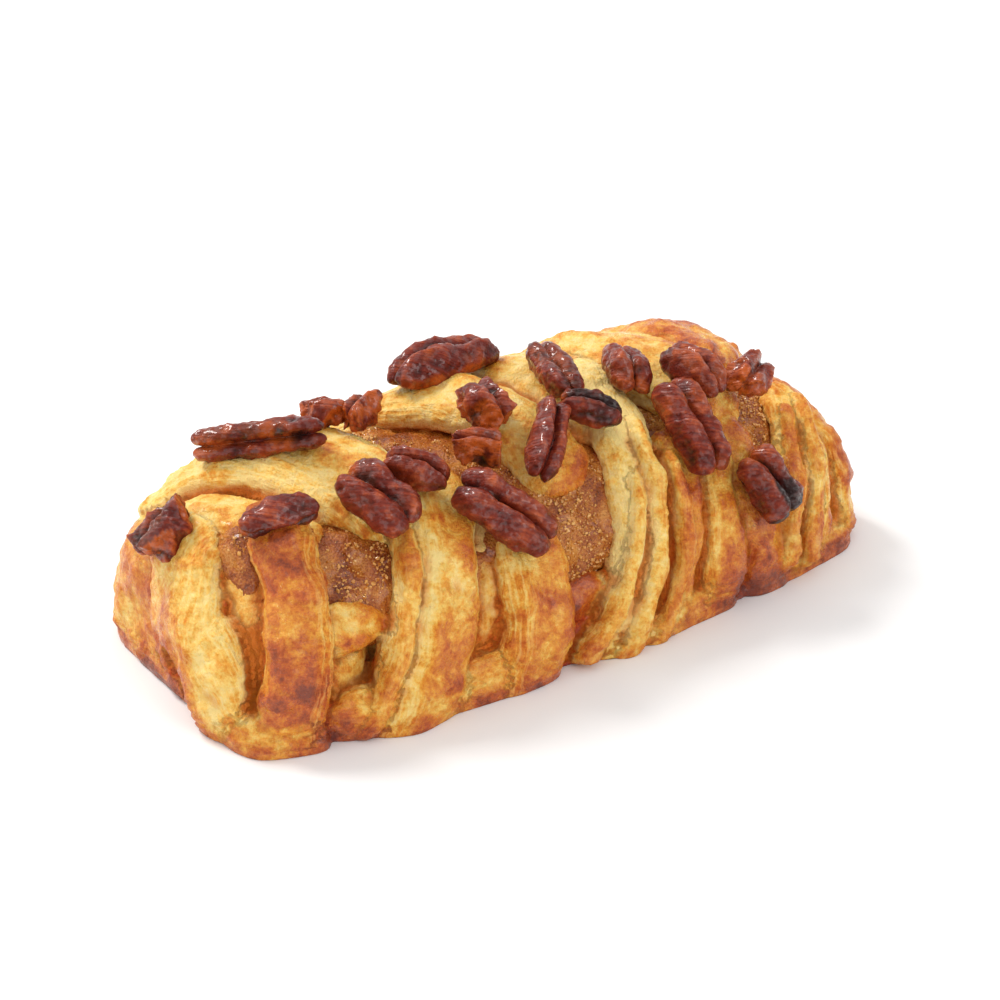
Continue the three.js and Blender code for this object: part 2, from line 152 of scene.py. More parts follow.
@dataclass(frozen=True)
class LoafSkin:
    """The smooth outer skin that the strips lie on, in mm."""

    half: float = 82.0
    wide: float = 40.0
    high: float = 47.5
    back: float = -2.0
    section_power: float = 2.3
    end_power: float = 4.5
    end_wide: float = 0.25
    end_high: float = 0.18
    steps: int = 400
    brink: float = 97.0  # from here a strip is held back from the crown line's end
    beyond: float = 0.98  # share of the line past the brink that a strip may use
    fall: float = 0.7  # share of the crown's drop that counts as length
    last: float = 0.99995  # share of the half length up to which the section stays open
    run_step: float = 0.5  # mm to each side, for the direction along the loaf
    turn_step: float = 1.5  # degrees to each side, for the direction round it
    heart: float = 0.9  # share of a point's x at which the inside is looked for

    def end_scale(self, x: np.ndarray) -> np.ndarray:
        """Give the share of the full section that is left at x."""
        t = np.minimum(np.abs(x) / self.half, self.last)
        return (1 - t**self.end_power) ** (1 / self.end_power)

    def station(self, run: np.ndarray) -> np.ndarray:
        """Turn a distance along the crown into x.

        Args:
            run: Distance along the crown, mm.

        Returns:
            The x of each, mm.
        """
        x = self.half * np.sin(np.linspace(0, 1, self.steps + 1) * math.pi / 2)
        z = self.high * self.end_scale(x)
        runs = np.concatenate([[0.0], np.cumsum(np.hypot(np.diff(x), self.fall * np.diff(z)))])
        far = np.abs(run)
        past = np.maximum(far - self.brink, 0)
        room = self.beyond * (runs[-1] - self.brink)
        held = np.minimum(far, self.brink) + room * np.tanh(past / room)
        return np.sign(run) * np.interp(held, runs, x)

    def point(self, run: np.ndarray, turn: np.ndarray) -> np.ndarray:
        """Give the skin's point at a distance along the crown and a turn around the loaf.

        Args:
            run: Distance along the crown, mm.
            turn: 0 at the near foot, 90 at the crown and 180 at the far foot.

        Returns:
            One point a row.
        """
        x = self.station(run)
        scale = self.end_scale(x)
        wide = self.wide * (self.end_wide + (1 - self.end_wide) * scale)
        high = self.high * (self.end_high + (1 - self.end_high) * scale)
        c = np.cos(np.radians(turn))
        s = np.sin(np.radians(turn))
        r = (np.abs(c) ** self.section_power + np.abs(s) ** self.section_power) ** (
            -1 / self.section_power
        )
        return np.stack(np.broadcast_arrays(x, self.back - wide * c * r, high * s * r), axis=-1)

    def frame(
        self, run: np.ndarray, turn: np.ndarray
    ) -> tuple[np.ndarray, np.ndarray, np.ndarray, np.ndarray]:
        """Give the skin's point, normal, direction along the loaf and mm per degree of turn.

        Args:
            run: Distance along the crown, mm.
            turn: Turn around the loaf, degrees.

        Returns:
            Point, unit normal, unit direction along the loaf, and mm per degree.
        """
        point = self.point(run, turn)
        along = self.point(run + self.run_step, turn) - self.point(run - self.run_step, turn)
        across = self.point(run, turn + self.turn_step) - self.point(run, turn - self.turn_step)
        normal = np.cross(along, across)
        normal /= np.linalg.norm(normal, axis=-1, keepdims=True) + TINY
        heart = point * np.array([self.heart, 0.0, 0.0]) + np.array([0.0, self.back, 0.0])
        inward = np.sum(normal * (point - heart), axis=-1, keepdims=True) < 0
        normal = np.where(inward, -normal, normal)
        per_degree = np.linalg.norm(across, axis=-1) / (2 * self.turn_step)
        along = along / (np.linalg.norm(along, axis=-1, keepdims=True) + TINY)
        return point, normal, along, per_degree


# ---------------------------------------------------------------- mesh helpers


def sphere_rings(around: int, along: int) -> tuple[np.ndarray, np.ndarray, np.ndarray]:
    """Lay out a closed ball of rings between two poles.

    Args:
        around: Points in each ring.
        along: Steps from pole to pole.

    Returns:
        The share of the way from pole to pole and the angle of each point, and triangles.
    """
    t = [0.0]
    q = [0.0]
    for i in range(1, along):
        t.extend([i / along] * around)
        q.extend(2 * math.pi * j / around for j in range(around))
    t.append(1.0)
    q.append(0.0)
    last = len(t) - 1
    faces = []
    for j in range(around):
        k = (j + 1) % around
        faces.append((0, 1 + k, 1 + j))
        for i in range(along - 2):
            a, b = 1 + i * around + j, 1 + i * around + k
            faces.append((a, b, b + around))
            faces.append((a, b + around, a + around))
        row = 1 + (along - 2) * around
        faces.append((row + j, row + k, last))
    return np.array(t), np.array(q), np.array(faces)


def make_object(name: str, points: np.ndarray, faces: np.ndarray) -> bpy.types.Object:
    """Make a mesh object from points in mm.

    Args:
        name: The piece's name.
        points: Points in mm, in the loaf's own place.
        faces: Corner numbers, one face a row.

    Returns:
        The new object, linked to the scene.
    """
    mesh = bpy.data.meshes.new(name)
    placed = (points + CENTRE_SHIFT) * MM
    mesh.from_pydata(placed.tolist(), [], faces.tolist())
    mesh.update()
    piece = bpy.data.objects.new(name, mesh)
    bpy.context.scene.collection.objects.link(piece)
    return piece


def read_rows(
    rows: bpy.types.bpy_prop_collection, key: str, width: int, kind: type = float
) -> np.ndarray:
    """Read one property of every row of a mesh's table.

    Args:
        rows: The table, such as the mesh's edges.
        key: The property's name.
        width: How many numbers it has.
        kind: Their type.

    Returns:
        One row of numbers each.
    """
    flat = np.empty(len(rows) * width, dtype=kind)
    rows.foreach_get(key, flat)
    return flat.reshape(-1, width)


def read_points(mesh: bpy.types.Mesh) -> np.ndarray:
    """Read a mesh's points back as mm in the loaf's own place."""
    return read_rows(mesh.vertices, "co", 3) / MM - CENTRE_SHIFT


def read_normals(mesh: bpy.types.Mesh) -> np.ndarray:
    """Read the normals of a mesh's points."""
    return read_rows(mesh.vertex_normals, "vector", 3)


def read_edges(mesh: bpy.types.Mesh) -> np.ndarray:
    """Read a mesh's edges, one pair of points a row."""
    return read_rows(mesh.edges, "vertices", 2, int)


def write_points(mesh: bpy.types.Mesh, points: np.ndarray) -> None:
    """Write points in mm back to a mesh."""
    mesh.vertices.foreach_set("co", ((points + CENTRE_SHIFT) * MM).astype(np.float32).ravel())
    mesh.update()


def relax(values: np.ndarray, edges: np.ndarray, rounds: int, share: float = 0.5) -> np.ndarray:
    """Draw each point's values towards its neighbours' mean.

    Args:
        values: One row a point.
        edges: Pairs of points.
        rounds: How many times.
        share: How far each time.

    Returns:
        The relaxed values.
    """
    out = np.array(values, dtype=float)
    count = np.bincount(edges.ravel(), minlength=len(out)).astype(float)
    count = np.maximum(count, 1.0)
    flat = out.reshape(len(out), -1)
    for _ in range(rounds):
        for k in range(flat.shape[1]):
            total = np.bincount(edges[:, 0], flat[edges[:, 1], k], minlength=len(flat))
            total += np.bincount(edges[:, 1], flat[edges[:, 0], k], minlength=len(flat))
            flat[:, k] += share * (total / count - flat[:, k])
    return flat.reshape(out.shape)


def store(mesh: bpy.types.Mesh, name: str, values: np.ndarray) -> None:
    """Keep one number a point on the mesh, for its material to read."""
    layer = mesh.attributes.new(name, "FLOAT", "POINT")
    layer.data.foreach_set("value", values.astype(np.float32))


def remesh(piece: bpy.types.Object, voxel: float) -> None:
    """Fuse a piece's overlapping shells into one even skin.

    Args:
        piece: The piece, changed in place.
        voxel: Size of one cell in mm.
    """
    step = piece.modifiers.new("fuse", "REMESH")
    step.mode = "VOXEL"
    step.voxel_size = voxel * MM
    apply_modifiers(piece)


def apply_modifiers(piece: bpy.types.Object) -> None:
    """Turn a piece's modifiers into its mesh.

    Args:
        piece: The piece, changed in place.
    """
    graph = bpy.context.evaluated_depsgraph_get()
    made = bpy.data.meshes.new_from_object(piece.evaluated_get(graph))
    old = piece.data
    piece.modifiers.clear()
    piece.data = made
    bpy.data.meshes.remove(old)
    made.name = piece.name


def thin_out(piece: bpy.types.Object, most: int) -> None:
    """Bring a piece's triangle count down to the most it may have.

    Args:
        piece: The piece, changed in place.
        most: Triangles allowed.
    """
    count = sum(len(p.vertices) - 2 for p in piece.data.polygons)
    if count <= most:
        return
    step = piece.modifiers.new("thin", "DECIMATE")
    step.ratio = most / count
    apply_modifiers(piece)


def smooth_shade(mesh: bpy.types.Mesh) -> None:
    """Shade every face smoothly."""
    mesh.polygons.foreach_set("use_smooth", np.ones(len(mesh.polygons), dtype=bool))
    mesh.update()


# ---------------------------------------------------------------- materials


class Blend(Enum):
    """How two colours are laid over each other."""

    MIX = "MIX"
    MULTIPLY = "MULTIPLY"


class Shade:
    """A socket that can be used in plain arithmetic."""

    def __init__(self, bench: "ShaderBench", socket: bpy.types.NodeSocket) -> None:
        """Wrap an output socket of the material being built."""
        self.bench = bench
        self.socket = socket

    def _math(self, operation: str, other: "Shade | float", swap: bool = False) -> "Shade":
        """Add a Math node for one operation; swap puts the other operand first."""
        pair = (other, self) if swap else (self, other)
        return self.bench.node("ShaderNodeMath", {"operation": operation}, {0: pair[0], 1: pair[1]})

    def __add__(self, other: "Shade | float") -> "Shade":
        """Add."""
        return self._math("ADD", other)

    __radd__ = __add__

    def __sub__(self, other: "Shade | float") -> "Shade":
        """Subtract."""
        return self._math("SUBTRACT", other)

    def __rsub__(self, other: float) -> "Shade":
        """Subtract from a number."""
        return self._math("SUBTRACT", other, swap=True)

    def __mul__(self, other: "Shade | float") -> "Shade":
        """Multiply."""
        return self._math("MULTIPLY", other)

    __rmul__ = __mul__

    def clamp(self) -> "Shade":
        """Keep the value from 0 to 1."""
        return self.bench.node("ShaderNodeClamp", {}, {"Value": self})

    def fit(self, low: float, high: float, to_low: float = 0.0, to_high: float = 1.0) -> "Shade":
        """Map a range smoothly to another.

        Args:
            low: Start of the range.
            high: End of the range.
            to_low: Result at the start.
            to_high: Result at the end.

        Returns:
            The mapped socket.
        """
        return self.bench.node(
            "ShaderNodeMapRange",
            {"interpolation_type": "SMOOTHSTEP"},
            {
                "Value": self,
                "From Min": low,
                "From Max": high,
                "To Min": to_low,
                "To Max": to_high,
            },
        )


Colour = tuple[float, float, float]


def linear(red: int, green: int, blue: int) -> Colour:
    """Turn an on-screen colour into the light it stands for, by the sRGB curve.

    Args:
        red: Red, 0 to 255.
        green: Green, 0 to 255.
        blue: Blue, 0 to 255.

    Returns:
        The three shares of light, 0 to 1.
    """
    out = []
    for value in (red, green, blue):
        c = value / 255
        out.append(c / 12.92 if c <= 0.04045 else ((c + 0.055) / 1.055) ** 2.4)
    return out[0], out[1], out[2]


class ShaderBench:
    """Builds one material's nodes."""

    def __init__(self, name: str) -> None:
        """Start an empty material with one principled shader.

        Args:
            name: The material's name.
        """
        self.material = bpy.data.materials.new(name)
        self.material.use_nodes = True
        self.tree = self.material.node_tree
        self.tree.nodes.clear()
        self.out = self.tree.nodes.new("ShaderNodeOutputMaterial")
        self.body = self.tree.nodes.new("ShaderNodeBsdfPrincipled")
        self.tree.links.new(self.body.outputs["BSDF"], self.out.inputs["Surface"])

    def _set(self, socket: bpy.types.NodeSocket, value: object) -> None:
        """Link or set one input socket.

        Args:
            socket: The input socket.
            value: A link, a number, a colour or a vector.
        """
        if isinstance(value, Shade):
            self.tree.links.new(value.socket, socket)
        elif isinstance(value, tuple) and len(value) == 3 and socket.type == "RGBA":
            socket.default_value = (*value, 1.0)
        else:
            socket.default_value = value

    @staticmethod
    def _set_stops(line: bpy.types.ColorRamp, stops: tuple[tuple[float, Colour], ...]) -> None:
        """Give a ramp its stops.

        Args:
            line: The ramp's line of stops.
            stops: Places and colours.
        """
        while len(line.elements) < len(stops):
            line.elements.new(0.5)
        for element, (at, colour) in zip(line.elements, stops, strict=True):
            element.position = at
            element.color = (*colour, 1.0)

    def node(
        self,
        kind: str,
        settings: dict[str, object],
        inputs: dict[int | str, object],
        output: int | str = 0,
    ) -> Shade:
        """Add any node.

        Args:
            kind: The node's type.
            settings: Properties that are set first, and the stops of a ramp.
            inputs: Values or links of its sockets.
            output: The output wanted.

        Returns:
            That output.
        """
        made = self.tree.nodes.new(kind)
        for key, value in settings.items():
            if key == "stops":
                self._set_stops(made.color_ramp, value)
            else:
                setattr(made, key, value)
        for key, value in inputs.items():
            self._set(made.inputs[key], value)
        return Shade(self, made.outputs[output])

    def attribute(self, name: str) -> Shade:
        """Read a number kept on the mesh."""
        return self.node("ShaderNodeAttribute", {"attribute_name": name}, {}, "Fac")

    def place(self) -> Shade:
        """Give the place on the piece.

        Returns:
            The place in mm.
        """
        spot = self.node("ShaderNodeTexCoord", {}, {}, "Object")
        to_mm = (1 / MM,) * 3
        return self.node("ShaderNodeVectorMath", {"operation": "MULTIPLY"}, {0: spot, 1: to_mm})

    def vector(self, x: Shade | float, y: Shade | float, z: Shade | float) -> Shade:
        """Join three numbers into a vector."""
        return self.node("ShaderNodeCombineXYZ", {}, {0: x, 1: y, 2: z})

    def noise(self, spot: Shade, size: float, detail: float = 3.0, rough: float = 0.55) -> Shade:
        """Sample noise.

        Args:
            spot: Place in mm.
            size: Size of a bump in mm.
            detail: Number of finer layers.
            rough: Strength of the finer layers.

        Returns:
            A value of 0 to 1, about 0.5 on average.
        """
        return self.node(
            "ShaderNodeTexNoise",
            {},
            {"Vector": spot, "Scale": 1.0 / size, "Detail": detail, "Roughness": rough},
            "Fac",
        )

    def cells(self, spot: Shade, size: float) -> Shade:
        """Give the distance to the nearest cell's middle, for cells of the size given in mm."""
        inputs = {"Vector": spot, "Scale": 1.0 / size}
        return self.node("ShaderNodeTexVoronoi", {}, inputs, "Distance")

    def ramp(self, value: Shade, stops: tuple[tuple[float, Colour], ...]) -> Shade:
        """Turn a value of 0 to 1 into a colour, by stops of a place and a colour."""
        return self.node("ShaderNodeValToRGB", {"stops": stops}, {0: value})

    def mix(
        self,
        share: Shade | float,
        first: Shade | Colour,
        second: Shade | Colour,
        blend: Blend = Blend.MIX,
    ) -> Shade:
        """Lay a colour over another.

        Args:
            share: How much of the second.
            first: The colour below.
            second: The colour above.
            blend: How they are laid.

        Returns:
            The mixed colour.
        """
        return self.node(
            "ShaderNodeMix",
            {"data_type": "RGBA", "blend_type": blend.value},
            {0: share, 6: first, 7: second},
            2,
        )

    def bump(self, height: Shade, strength: float, depth: float) -> Shade:
        """Turn a height into a bumped normal.

        Args:
            height: The height, 0 to 1.
            strength: Share of the bump used.
            depth: Height of 1, in mm.

        Returns:
            The normal.
        """
        return self.node(
            "ShaderNodeBump", {}, {"Strength": strength, "Distance": depth * MM, "Height": height}
        )

    def finish(self, **sockets: object) -> bpy.types.Material:
        """Set the shader's own sockets.

        Args:
            **sockets: Socket names with _ for spaces.

        Returns:
            The finished material.
        """
        for name, value in sockets.items():
            self._set(self.body.inputs[name.replace("_", " ")], value)
        return self.material


@dataclass(frozen=True)
class CrustFinish:
    """Egg-washed laminated dough, pale in the folds and toasted on its crests, with painted shade
    in its creases.
    """

    cream: Colour = linear(254, 222, 142)
    pale: Colour = linear(248, 200, 98)
    straw: Colour = linear(234, 160, 54)
    gold: Colour = linear(216, 124, 32)
    amber: Colour = linear(188, 84, 18)
    brown: Colour = linear(130, 48, 8)
    # painted shade: a warm brown multiplied into the folds and creases
    deep: Colour = linear(214, 136, 66)
    layer_mm: float = 0.8
    waver_mm: float = 7.0
    waver: float = 2.6  # how far the layers' lines stray, mm
    patch_mm: float = 4.4
    speck_mm: float = 1.4
    pore_mm: float = 0.5
    crackle_mm: float = 1.3
    freckle_mm: float = 1.8
    sheen_mm: float = 2.2

    def build(self) -> bpy.types.Material:
        """Build the crust's material.

        Returns:
            The material.
        """
        m = ShaderBench("crust")
        spot = m.place()
        side = m.attribute("side")
        depth = m.attribute("depth")
        along = m.attribute("along")
        strip = m.attribute("strip")
        toast = m.attribute("toast")
        layered = m.attribute("layered")
        painted_fold_shade = m.attribute("painted_fold_shade")
        # leaves of dough: fine lines that follow the strip, wavering a little
        waver = m.noise(spot, self.waver_mm, 2.0) * self.waver
        strand = m.vector(along * 0.08, side + waver, depth * 1.3 + strip * 7.0)
        lines = m.noise(strand, self.layer_mm, 2.0, 0.6)
        broad = m.noise(strand, self.layer_mm * 3.4, 2.0, 0.5)
        patch = m.noise(spot, self.patch_mm, 6.0, 0.72)
        speck = m.noise(spot, self.speck_mm, 5.0, 0.7)
        pore = m.noise(spot, self.pore_mm, 3.0, 0.65)
        crackle = m.cells(spot + (speck - 0.5) * 1.2, self.crackle_mm)
        heat = toast + (patch - 0.5) * 1.05 + (speck - 0.5) * 0.75 + (broad - 0.5) * 0.26
        heat = (heat - (lines - 0.5) * layered * 0.45 + (pore - 0.5) * 0.16).clamp()
        colour = m.ramp(
            heat,
            (
                (0.08, self.cream),
                (0.26, self.pale),
                (0.42, self.straw),
                (0.58, self.gold),
                (0.76, self.amber),
                (1.0, self.brown),
            ),
        )
        open_leaves = (lines.fit(0.48, 0.64) * layered * 0.5 * (1.1 - toast)).clamp()
        colour = m.mix(open_leaves, colour, self.cream)
        freckle = m.noise(spot, self.freckle_mm, 4.0, 0.65).fit(0.55, 0.68)
        freckle = (freckle * toast.fit(0.2, 0.6)).clamp()
        colour = m.mix(freckle * 0.5, colour, self.amber)
        # painted shade: the folds and creases are multiplied by the warm brown deep colour
        colour = m.mix(painted_fold_shade.clamp(), colour, self.deep, Blend.MULTIPLY)
        height = lines * (0.15 + layered * 0.7) + speck * 1.2 + pore * 0.9 + crackle * 0.35
        sheen = m.noise(spot, self.sheen_mm, 4.0, 0.65).fit(0.35, 0.65, 0.2, 0.6)
        return m.finish(
            Base_Color=colour,
            Roughness=(sheen + layered * 0.16).clamp(),
            Coat_Weight=(toast * 0.8 - 0.08 - layered * 0.3).clamp(),
            Coat_Roughness=0.16,
            Specular_IOR_Level=0.3,
            Subsurface_Weight=0.1,
            Subsurface_Radius=(1.0, 0.45, 0.15),
            Subsurface_Scale=0.0016,
            Normal=m.bump(height, 1.0, 0.5),
        )


@dataclass(frozen=True)
class FillingFinish:
    """Baked sugar and nut paste, amber and sticky, sandy where the sugar hasn't melted."""

    sandy: Colour = linear(214, 146, 70)
    light: Colour = linear(188, 112, 36)
    middle: Colour = linear(156, 76, 14)
    dark: Colour = linear(98, 38, 6)
    grain_mm: float = 0.6
    cloud_mm: float = 5.0
    fine_mm: float = 0.5

    def build(self) -> bpy.types.Material:
        """Build the filling's material.

        Returns:
            The material.
        """
        m = ShaderBench("filling_paste")
        spot = m.place()
        grain = m.cells(spot, self.grain_mm)
        cloud = m.noise(spot, self.cloud_mm, 4.0, 0.6)
        fine = m.noise(spot, self.fine_mm, 3.0, 0.7)
        tone = (cloud + (fine - 0.5) * 0.6).clamp()
        colour = m.ramp(
            tone,
            ((0.25, self.dark), (0.44, self.middle), (0.58, self.light), (0.72, self.sandy)),
        )
        height = (1.0 - grain) * 0.6 + fine * 0.6
        return m.finish(
            Base_Color=colour,
            Roughness=fine.fit(0.35, 0.7, 0.22, 0.55),
            Coat_Weight=0.5,
            Coat_Roughness=0.13,
            Specular_IOR_Level=0.3,
            Normal=m.bump(height, 1.0, 0.5),
        )


@dataclass(frozen=True)
class SugarFinish:
    """Coarse sugar, stained by the syrup round it."""

    light: Colour = linear(226, 172, 96)
    stained: Colour = linear(186, 112, 38)
    stain_mm: float = 1.2

    def build(self) -> bpy.types.Material:
        """Build the sugar's material.

        Returns:
            The material.
        """
        m = ShaderBench("coarse_sugar")
        cloud = m.noise(m.place(), self.stain_mm, 2.0).fit(0.35, 0.65)
        colour = m.mix(cloud, self.light, self.stained)
        return m.finish(Base_Color=colour, Roughness=0.22, Coat_Weight=0.5)


@dataclass(frozen=True)
class NutFinish:
    """Pecan meat under a sticky glaze, charred where it stood proud; painted shade in furrows,
    light on crests.
    """

    # ramp stops from furrow, which is painted shade, to tip, which is painted light
    tip: Colour = linear(186, 88, 46)
    ridge: Colour = linear(122, 38, 18)
    flesh: Colour = linear(92, 22, 10)
    furrow: Colour = linear(42, 8, 3)
    broken: Colour = linear(184, 84, 24)
    char: Colour = linear(40, 12, 9)
    cloud_mm: float = 3.6
    fine_mm: float = 0.9
    grit_mm: float = 0.55
    glaze_mm: float = 1.2

    def build(self) -> bpy.types.Material:
        """Build the nuts' material.

        Returns:
            The material.
        """
        m = ShaderBench("glazed_pecan")
        spot = m.place()
        crest = m.attribute("crest")
        charred = m.attribute("char")
        bare = m.attribute("bare")
        cloud = m.noise(spot, self.cloud_mm, 4.0, 0.6)
        fine = m.noise(spot, self.fine_mm, 5.0, 0.7)
        grit = m.cells(spot + (fine - 0.5) * 0.5, self.grit_mm)
        # painted light and shade: the tone follows crest, dark in the furrows and light on raised
        # parts
        tone = crest + (cloud - 0.5) * 0.14 + (fine - 0.5) * 0.4 - (grit - 0.4) * 0.3
        colour = m.ramp(
            tone.clamp(),
            ((0.02, self.furrow), (0.3, self.flesh), (0.56, self.ridge), (0.95, self.tip)),
        )
        colour = m.mix((bare * cloud.fit(0.3, 0.6)).clamp(), colour, self.broken)
        burnt = (charred + (cloud - 0.5) * 0.7).fit(0.5, 0.78)
        colour = m.mix(burnt, colour, self.char)
        height = fine * 0.9 + (1.0 - grit) * 0.6
        return m.finish(
            Base_Color=colour,
            Roughness=fine.fit(0.3, 0.7, 0.28, 0.5),
            Coat_Weight=m.noise(spot, self.glaze_mm, 3.0).fit(0.45, 0.58, 0.05, 0.9),
            Coat_Roughness=0.1,
            Specular_IOR_Level=0.22,
            Normal=m.bump(height, 1.0, 0.36),
        )


@dataclass(frozen=True)
class FloorFinish:
    """Plain white card."""

    card: Colour = (0.9, 0.9, 0.9)
    shade: Colour = (0.86, 0.86, 0.86)
    cloud_mm: float = 60.0

    def build(self) -> bpy.types.Material:
        """Build the floor's material.

        Returns:
            The material.
        """
        m = ShaderBench("white_card")
        faint = m.noise(m.place(), self.cloud_mm, 1.0).fit(0.0, 1.0, 0.0, 0.02)
        colour = m.mix(faint, self.card, self.shade)
        return m.finish(Base_Color=colour, Roughness=0.8)


# ---------------------------------------------------------------- strips of dough


@dataclass(frozen=True)
class Strip:
    """One strip of dough over the loaf's skin, from its foot to its tip.

    A spot on the skin is a distance along the crown and a turn round the loaf. wide and rise
    are the strip's width and how far its face stands off the skin, at three places. cut is
    the share of the width, from -1 on the left to 1 on the right, where its leaves lie open,
    and how openly.
    """

    foot: tuple[float, float]
    mid: tuple[float, float]
    tip: tuple[float, float]
    wide: tuple[float, float, float]
    rise: tuple[float, float, float]
    toast: float = 0.0
    cut: tuple[float, float, float] = (2.0, 3.0, 0.0)


STRIPS: tuple[Strip, ...] = (
    # the near end's strip, split in two lobes with a sheet sunk between them
    Strip((-91, -8), (-98, 64), (-74, 92), (26, 34, 18), (3.5, 4.5, 1.0), -0.12, (0.2, 1.2, 0.6)),
    Strip((-78, -10), (-70, 37), (-62, 80), (20, 16, 13), (1, 1.8, 0.5), 0.08, (0.4, 1.2, 1)),
    Strip((-80, -6), (-80, 20), (-79, 48), (14, 14, 13), (-1, -4, -5), -0.1, (-1, 1, 0.5)),
    # the first far strip, two bands side by side
    Strip((-80, 188), (-51, 112), (-36, 50), (26, 33, 16), (0, 1, -5), -0.1, (-1.2, -0.3, 0.9)),
    Strip((-96, 162), (-75, 98), (-56, 60), (24, 19, 13), (-3, -1.5, -5), -0.05, (0.2, 1.2, 0.6)),
    # the second near strip
    Strip((-52, -10), (-38, 26), (-24, 78), (22, 21, 14), (2, 2, -4), -0.04, (-1.2, -0.25, 1)),
    Strip((-24, -10), (-14, 20), (-13, 56), (22, 17, 13), (2, 1.5, -4), 0.0, (-1.2, -0.3, 0.9)),
    Strip((-34, -4), (-26, 26), (-21, 58), (16, 13, 11), (-2, -3.5, -6), -0.1, (-1, 1, 0.5)),
    # the second far strip, two bands
    Strip((-27, 188), (-6, 112), (3, 46), (24, 24, 17), (0, 1.5, -4), -0.16),
    Strip((-8, 188), (13, 112), (17, 60), (22, 24, 13), (0, 1, -4), -0.14),
    # the third near strip, with a narrow ridge beside its broad lobe
    Strip((-1, -10), (15, 32), (26, 108), (22, 15, 13), (1.2, 0.4, 0), -0.18, (-0.7, 1.2, 1)),
    Strip((15, -10), (25, 20), (31, 58), (11, 9, 9), (1, 0.5, -2), 0.0),
    Strip((31, -10), (37, 22), (41, 58), (16, 13, 11), (-2, -0.5, -4), 0.04, (-1.2, -0.3, 0.9)),
    Strip((27, -2), (31, 22), (36, 50), (9, 9, 9), (-3, -3.5, -5), -0.05, (-1, 1, 0.5)),
    # the third far strip, two bands
    Strip((14, 188), (36, 112), (48, 50), (26, 27, 15), (0, 1.5, -3), -0.1),
    Strip((38, 188), (55, 112), (61, 80), (24, 22, 15), (0, 0.5, -3), 0.04),
    # the fourth near strip and the wrap of the right end
    Strip((50, -10), (48, 22), (47, 60), (16, 14, 11), (-2, -1, -4), 0.16),
    Strip((62, -10), (66, 24), (74, 68), (24, 21, 16), (-3, -1.5, -3), -0.02, (-1.2, 0.3, 1)),
    Strip((92, -10), (92, 40), (82, 92), (30, 28, 22), (1, 1.5, -5), 0.06),
    Strip((66, 188), (76, 122), (79, 86), (26, 25, 19), (-1, -3, -5), 0.05),
    # tongues that close the gaps between the near strips towards the base
    Strip((-70, 30), (-58, 31), (-47, 28), (18, 13, 4), (-3.5, -2.5, -4.5), 0.0),
    Strip((-62, 3), (-53, 4), (-44, 2), (16, 15, 14), (-1, -1, -2), 0.05),
    Strip((-12, 8), (-4, 14), (6, 20), (16, 14, 10), (-2, -3, -4), 0.24),
    # the feet where each near strip's ridges meet
    Strip((-94, 5), (-84, 3), (-66, 4), (14, 17, 15), (1.5, 2.4, 1.2), -0.08, (-1, 1, 0.2)),
    Strip((-68, 6), (-40, 2), (-11, 3), (14, 18, 15), (-1.5, 1.2, 0.2), 0.0, (-1, 1, 0.3)),
    Strip((-5, 2), (16, 1), (40, 3), (13, 15, 13), (0, 1.0, -0.8), 0.0, (-1, 1, 0.3)),
    Strip((45, 3), (66, 2), (93, 3), (11, 14, 16), (-2.5, -1.5, 0.5), 0.05, (-1, 1, 0.3)),
)

LEAVES: tuple[Strip, ...] = (
    # leaves that fan out over the third near strip's foot
    Strip((-7, 2), (6, 16), (17, 50), (5, 6, 4), (2.0, 2.4, 1.0), -0.14, (-1, 1, 0.5)),
    Strip((1, -3), (13, 14), (22, 64), (6, 7, 5), (2.8, 3.2, 1.6), -0.16, (-1, 1, 0.5)),
    Strip((10, -5), (20, 12), (27, 50), (6, 6, 4), (2.4, 2.2, 1.0), -0.08, (-1, 1, 0.5)),
    # leaves on the flanks of the second near strip and of the wrap
    Strip((-61, 0), (-49, 20), (-38, 56), (6, 6, 4), (1.2, 1.8, 0.6), -0.06, (-1, 1, 0.5)),
    Strip((51, 2), (58, 22), (66, 56), (6, 6, 4), (-1.6, 0.0, -1.6), 0.0, (-1, 1, 0.5)),
    Strip((60, 1), (65, 24), (71, 60), (6, 6, 5), (-1.2, 0.6, -1), -0.04, (-1, 1, 0.5)),
)


@dataclass(frozen=True)
class ToastSpot:
    """A browned or pale patch: its place on the skin, its reach in mm and its strength."""

    run: float
    turn: float
    reach: float
    amount: float


